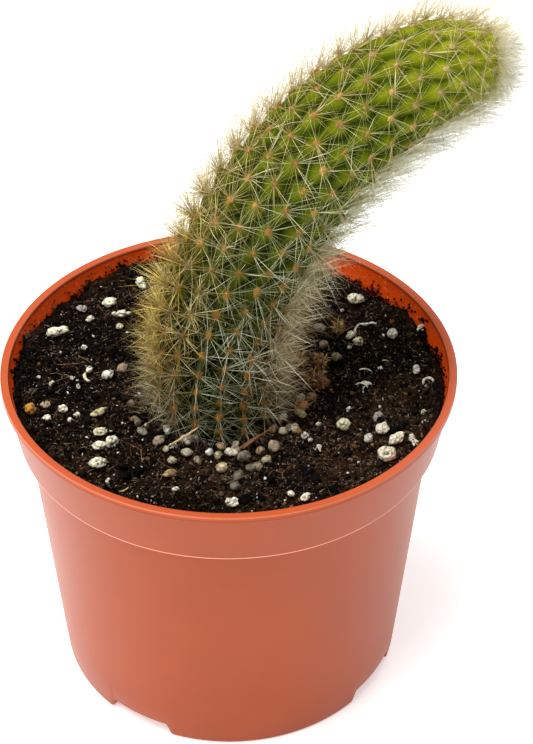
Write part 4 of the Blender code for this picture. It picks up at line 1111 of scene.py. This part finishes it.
def tiltedWays(pick, tiltDeg, kept):
    # directions tilted from the areoles' normals by a random angle, of which a share is kept, and turned
    # at random round them; flat is the part across the normal
    turn = draw.uniform(0, 2 * math.pi, len(pick))
    tilt = np.radians(draw.uniform(*tiltDeg, len(pick))) * kept
    flat = areoleAcross[pick] * np.cos(turn)[:, None] + areoleSlope[pick] * np.sin(turn)[:, None]
    return areoleNormal[pick] * np.cos(tilt)[:, None] + flat * np.sin(tilt)[:, None], flat


woolSet = {"count": 26, "tiltDeg": (10, 85), "length": (0.8, 2.0), "width": 0.036}


def makeWool(material):
    # short loose felt round each cushion, which softens its edge
    pick = np.repeat(np.arange(len(areoleSkin)), woolSet["count"])
    heading, flat = tiltedWays(pick, woolSet["tiltDeg"], 1.0)
    size = np.interp(areoleClimb[pick], (0, 0.6, 0.85, 1), (1, 0.95, 0.8, 0.6))
    root = areolePlace[pick] + flat * (draw.uniform(0, 0.5, len(pick)) * size)[:, None]
    length = draw.uniform(*woolSet["length"], len(pick)) * size
    bend = draw.normal(size=(len(pick), 3)) * 0.2
    makeStrands("areoleWool", root, heading, bend, length, np.full(len(pick), woolSet["width"]), 1,
                material, {"tint": feltTints(pick)})


def spineSkin(name, roughness, blended, sheen, glow):
    # Spines: hard, glassy and thin, each in its own tint, with a darker root for part of its length, partly
    # the spine's own brown base and partly painted shade among the crowded roots.
    # The silky ones have a sheen, and a faint glow stands for light passed on from hair to hair.
    material, add = newMaterial(name)
    reach = add("Attribute", {"attribute_name": "reach"}).outputs["Fac"]
    tint = add("Attribute", {"attribute_name": "tint"})
    root = add("Attribute", {"attribute_name": "rootTint"})
    up = add("MapRange", {1: 0.0, 2: blended}, {0: reach})
    colour = add("Mix", mixing, {0: up, 6: root, 7: tint})
    settings = {"Roughness": roughness, "IOR": 1.5, "Sheen Weight": sheen, "Sheen Roughness": 0.3,
                "Emission Strength": glow}
    shader = add("BsdfPrincipled", settings, {"Base Color": colour, "Emission Color": colour})
    add("OutputMaterial", links={0: shader})
    return material


spineMaterial = spineSkin("glassySpine", 0.45, 0.12, 0.0, 0.13)
hairMaterial = spineSkin("silkySpine", 0.6, 0.5, 0.4, 0.33)
# shares of the way up the stem at which the layers below give their lengths and half widths
spinePlaces = (0.0, 0.3, 0.6, 1.0)
# one entry a layer: spines an areole, tilt from its normal, segments a spine, how white it is, how far it
# leans towards the tip, the inner side and down, how much it bends, and the share of tilt kept high up
spineLayers = {
    "radialSpines": {"count": 20, "tiltDeg": (46, 90), "parts": 2, "hairy": 0.0, "lean": (0.15, 0.5, 0.05),
                     "curl": 0.12, "upper": 1.0, "length": (7.0, 11.0, 10.5, 7.0),
                     "width": (0.033, 0.036, 0.033, 0.025)},
    "centralSpines": {"count": 4, "tiltDeg": (8, 58), "parts": 2, "hairy": 0.0, "lean": (0.1, 0.2, 0.0),
                      "curl": 0.1, "upper": 1.0, "length": (7.6, 7.6, 7.6, 5.4),
                      "width": (0.036, 0.04, 0.035, 0.024)},
    "outerSpines": {"count": 26, "tiltDeg": (4, 68), "parts": 2, "hairy": 0.0, "lean": (0.6, 0.0, 0.0),
                    "curl": 0.12, "upper": 1.0, "length": (6.5, 7.5, 8.0, 8.0),
                    "width": (0.048, 0.046, 0.036, 0.03)},
    "backHairs": {"count": 38, "tiltDeg": (4, 62), "parts": 2, "hairy": 0.2, "lean": (0.5, 0.0, 0.0),
                  "curl": 0.1, "upper": 1.0, "length": (9.0, 10.5, 13.0, 11.0),
                  "width": (0.04, 0.04, 0.036, 0.028)},
    "innerHairs": {"count": 34, "tiltDeg": (4, 62), "parts": 3, "hairy": 0.9, "lean": (0.55, 0.0, -0.1),
                   "curl": 0.1, "upper": 0.6, "length": (7.5, 9.5, 17.5, 9.0),
                   "width": (0.048, 0.046, 0.034, 0.028)}}
# where spines have to end on the right and at the top: the axis, and millimetres along it
farSides = ((0, 52.4), (2, 152.2))


def spineTints(pick, hairy, tone):
    # straw green in the open, gold on the outer side low down and pale straw above, tan on the inner side and
    # at the foot, white hairs on the inner side higher up. Each tint runs from a dark end, painted shade, to
    # a bright end, painted highlight, and only a few spines take the bright end; old roots are brown and all
    # roots darker, partly painted shade
    climb, inner = areoleClimb[pick], areoleInner[pick]
    up = smoothStep((climb - 0.25) / 0.5)[:, None]
    low = smoothStep((0.62 - climb) / 0.3)[:, None]
    gold = smoothStep((-inner - 0.4) / 0.45)[:, None] * low
    old = smoothStep((0.16 - climb) / 0.16)[:, None] * gold * 0.7
    gold = gold - old
    tan = (np.clip(inner * 1.5 - 0.05, 0, 1) * smoothStep((0.5 - climb) / 0.25))[:, None] + old
    straw = smoothStep((-inner - 0.35) / 0.4)[:, None] * (1 - low) * 0.85
    white = np.maximum(np.clip(inner * 1.6 - 0.4, 0, 1), hairy)[:, None] * (1 - low)
    tint = blendTints("#646A2C", "#FFFFE4", tone) * (1 - up) + blendTints("#8E9438", "#ECE8A8", tone) * up
    for share, first, second in ((gold, "#8C6804", "#FFE878"), (tan, "#866834", "#FFF6D0"),
                                 (white, "#B4B2A4", "#F6F4EE"), (straw, "#CCAA58", "#FFF6CC")):
        tint = tint * (1 - share) + blendTints(first, second, tone) * share
    # spines near the foot are darker, partly dull with age and partly painted shade where the pot and soil
    # keep light off the low stem
    tint[:, :3] *= (0.56 + 0.44 * smoothStep(climb / 0.2))[:, None]
    # the roots are darker, brown on old spines and partly painted shade among the crowded roots
    root = blendTints("#382C08", "#A8A254", smoothStep((climb - 0.1) / 0.6))
    return tint, root


def clearOfSoil(roots, headings, lengths):
    # tips that would go under the soil are turned up until they clear it
    tips = roots + headings * lengths[:, None]
    ground = soilHeight(tips[:, 0] - potX / mm, tips[:, 1] - potY / mm) + 0.5
    need = np.clip((ground - roots[:, 2]) / lengths, -1, 0.8)
    raised = headings.copy()
    raised[:, 2] = np.where(tips[:, 2] < ground, np.maximum(headings[:, 2], need + 0.05), headings[:, 2])
    return unit(raised)


def growSpines(name, strength, material):
    # strength multiplies the layer's count at each areole; a direction is tilted from the areole's
    # normal, turned at random round it, and drawn to the tip, the inner side and down
    layer = spineLayers[name]
    count = np.round(layer["count"] * strength * draw.uniform(0.85, 1.15, len(strength))).astype(int)
    pick = np.repeat(np.arange(len(count)), count)
    climb = areoleClimb[pick]
    heading, flat = tiltedWays(pick, layer["tiltDeg"], np.interp(climb, (0.3, 0.6), (1.0, layer["upper"])))
    toTip, toInner, down = layer["lean"]
    toTip = toTip * np.interp(climb, (0.2, 0.5), (0.2, 1.0))[:, None]
    flank = np.clip(1 - np.abs(areoleInner[pick]), 0, 1)[:, None]
    heading = heading + areoleSlope[pick] * toTip + innerWay[pick] * toInner * flank - stemUp * down
    heading = unit(heading)
    # no spine dives into the skin
    dive = np.minimum(np.sum(heading * areoleNormal[pick], axis=1) - 0.06, 0)[:, None]
    heading = unit(heading - areoleNormal[pick] * dive)
    length = np.interp(climb, spinePlaces, layer["length"]) * draw.uniform(0.45, 1.1, len(pick))
    root = areolePlace[pick] + areoleNormal[pick] * 0.15 + flat * draw.uniform(0.05, 0.55, (len(pick), 1))
    heading = clearOfSoil(root, heading, length)
    bend = draw.normal(size=(len(pick), 3)) * layer["curl"]
    bend = bend - areoleNormal[pick] * 0.04
    for axis, side in farSides:
        pace = np.maximum(heading[:, axis] + bend[:, axis], 0.05)
        length = np.minimum(length, (side - root[:, axis]) / pace)
    # painted shade and painted highlight: most spines take the dark end of their tint, and the few stout ones
    # the bright end
    tone = draw.uniform(0, 1, len(pick)) ** 3
    tint, rootTint = spineTints(pick, layer["hairy"], tone)
    width = np.interp(climb, spinePlaces, layer["width"]) * draw.uniform(0.7, 1.1, len(pick))
    width = width * (0.85 + 0.6 * tone)
    makeStrands(name, root, heading, bend, length, width, layer["parts"], material,
                {"tint": tint, "rootTint": rootTint}, taper=0.35)
    print(name, len(pick))


feltMaterial = tinted("areoleFelt", 0.9, 0.5, 0.35, 1.0, 0.1)
makePads(feltMaterial)
makeWool(feltMaterial)
growSpines("radialSpines", np.interp(areoleClimb, (0, 0.4, 0.65, 1), (1.3, 1.2, 0.95, 0.9)), spineMaterial)
growSpines("centralSpines", np.interp(areoleClimb, (0, 0.4, 0.65, 1), (1.3, 1.1, 0.7, 0.6)), spineMaterial)
# the outer side is bushy low down, and the back has long hairs from a fifth of the way up
bushy = smoothStep((-areoleInner - 0.46) / 0.4) * smoothStep((0.6 - areoleClimb) / 0.2)
backed = smoothStep((0.1 - areoleFront) / 0.4) * smoothStep((0.2 - areoleInner) / 0.5)
backed = backed * smoothStep((areoleClimb - 0.2) / 0.2)
growSpines("outerSpines", bushy, hairMaterial)
growSpines("backHairs", backed, spineMaterial)
innerFrom = np.interp(areoleClimb, (0.3, 0.45, 0.62), (0.35, 0.4, 0.2))
innerShare = smoothStep((areoleInner - innerFrom) / 0.5) * np.interp(areoleClimb, (0.3, 0.6), (0.8, 1.3))
growSpines("innerHairs", innerShare, hairMaterial)

tuftSet = {"count": 3000, "spread": 6.0, "length": (3.6, 5.8), "width": 0.011, "outward": 0.6, "fan": 0.24,
           "bend": 0.09, "shorterOut": 0.35, "centreUnder": 3.0}


def makeTuft():
    # the growing point: a thick brush of short pale hairs that lean over the tip
    s = tuftSet
    away = np.sqrt(draw.uniform(0, 1, s["count"]))
    skin = stemSkin[-1] - 0.2 - s["spread"] * away
    root, _, _ = stemPoint(skin, draw.uniform(0, stemSet["ribs"], s["count"]))
    tip, direction, _, _ = stemFrame(np.array([stemSkin[-1]]))
    outward = unit(root - tip + direction * s["centreUnder"])
    heading = unit(outward * s["outward"] + direction + draw.normal(size=(s["count"], 3)) * s["fan"])
    length = draw.uniform(*s["length"], s["count"]) * (1 - s["shorterOut"] * away)
    tone = draw.uniform(0, 1, s["count"])
    bend = draw.normal(size=(s["count"], 3)) * s["bend"]
    width = s["width"] * draw.uniform(0.7, 1.2, s["count"])
    tints = {"tint": blendTints("#D8D0C0", "#EEEAE0", tone),
             "rootTint": blendTints("#BCB080", "#E4DCC0", tone)}
    makeStrands("tipTuft", root, heading, bend, length, width, 2, hairMaterial, tints)


makeTuft()

print("stage")
# the camera's turns are in radians; a light has a place and a size in metres, and its watts
viewSet = {"distance": 308.02, "height": 319.08, "yaw": 0.024, "pitch": 0.681, "roll": 0.008,
           "focalPixels": 2000.0, "imageHeight": 744}
lightSet = {"world": 0.44, "softbox": ((-0.28, -0.08, 0.91), 0.75, 9.8),
            "side": ((-1.15, -0.95, 0.6), 1.3, 6.6), "back": ((0.45, 0.75, 0.78), 0.6, 3.2)}


def makeCamera():
    # stands in front of the pot's axis and looks down on it; the lens follows from the focal length
    s = viewSet
    level = math.cos(s["pitch"])
    forward = Vector((math.sin(s["yaw"]) * level, math.cos(s["yaw"]) * level, -math.sin(s["pitch"])))
    right = Vector((math.cos(s["yaw"]), -math.sin(s["yaw"]), 0.0))
    up = right.cross(forward)
    rolledRight = right * math.cos(s["roll"]) + up * math.sin(s["roll"])
    rolledUp = up * math.cos(s["roll"]) - right * math.sin(s["roll"])
    data = bpy.data.cameras.new("camera")
    data.sensor_width = 36.0
    data.lens = s["focalPixels"] / s["imageHeight"] * data.sensor_width
    data.clip_end = 10.0
    camera = bpy.data.objects.new("camera", data)
    turned = Matrix((rolledRight, rolledUp, -forward)).transposed().to_4x4()
    camera.matrix_world = Matrix.Translation((potX, potY - s["distance"] * mm, s["height"] * mm)) @ turned
    bpy.context.scene.collection.objects.link(camera)
    bpy.context.scene.camera = camera


def addLight(name, place, size, power):
    # a round soft light that looks at the middle of the plant
    data = bpy.data.lights.new(name, "AREA")
    data.shape = "DISK"
    data.size = size
    data.energy = power
    light = bpy.data.objects.new(name, data)
    light.location = place
    light.rotation_euler = (Vector((0, 0, 0.08)) - Vector(place)).to_track_quat("-Z", "Y").to_euler()
    bpy.context.scene.collection.objects.link(light)


def makeStage():
    # matt white paper 6 m wide, 0.2 mm under the pot's foot
    mesh = bpy.data.meshes.new("floor")
    half, level = 3.0, -0.2 * mm
    mesh.from_pydata([(-half, -half, level), (half, -half, level), (half, half, level),
                      (-half, half, level)], [], [(0, 1, 2, 3)])
    floor = bpy.data.objects.new("floor", mesh)
    # White paper: matt, with a little glow of its own that keeps it white in the plant's shade.
    settings = {"Base Color": "#FAFAFA", "Roughness": 0.9, "Specular IOR Level": 0.1,
                "Emission Strength": 0.42, "Emission Color": (1.0, 1.0, 1.0, 1.0)}
    material, add = newMaterial("whitePaper")
    add("OutputMaterial", links={0: add("BsdfPrincipled", settings)})
    mesh.materials.append(material)
    bpy.context.scene.collection.objects.link(floor)
    world = bpy.data.worlds.new("studio")
    world.use_nodes = True
    world.node_tree.nodes["Background"].inputs[1].default_value = lightSet["world"]
    world.node_tree.nodes["Background"].inputs[0].default_value = (1.0, 1.0, 1.0, 1.0)
    bpy.context.scene.world = world
    for name in ("softbox", "side", "back"):
        addLight(name, *lightSet[name])
    bpy.context.scene.view_settings.view_transform = "Standard"


makeCamera()
makeStage()
print("done")
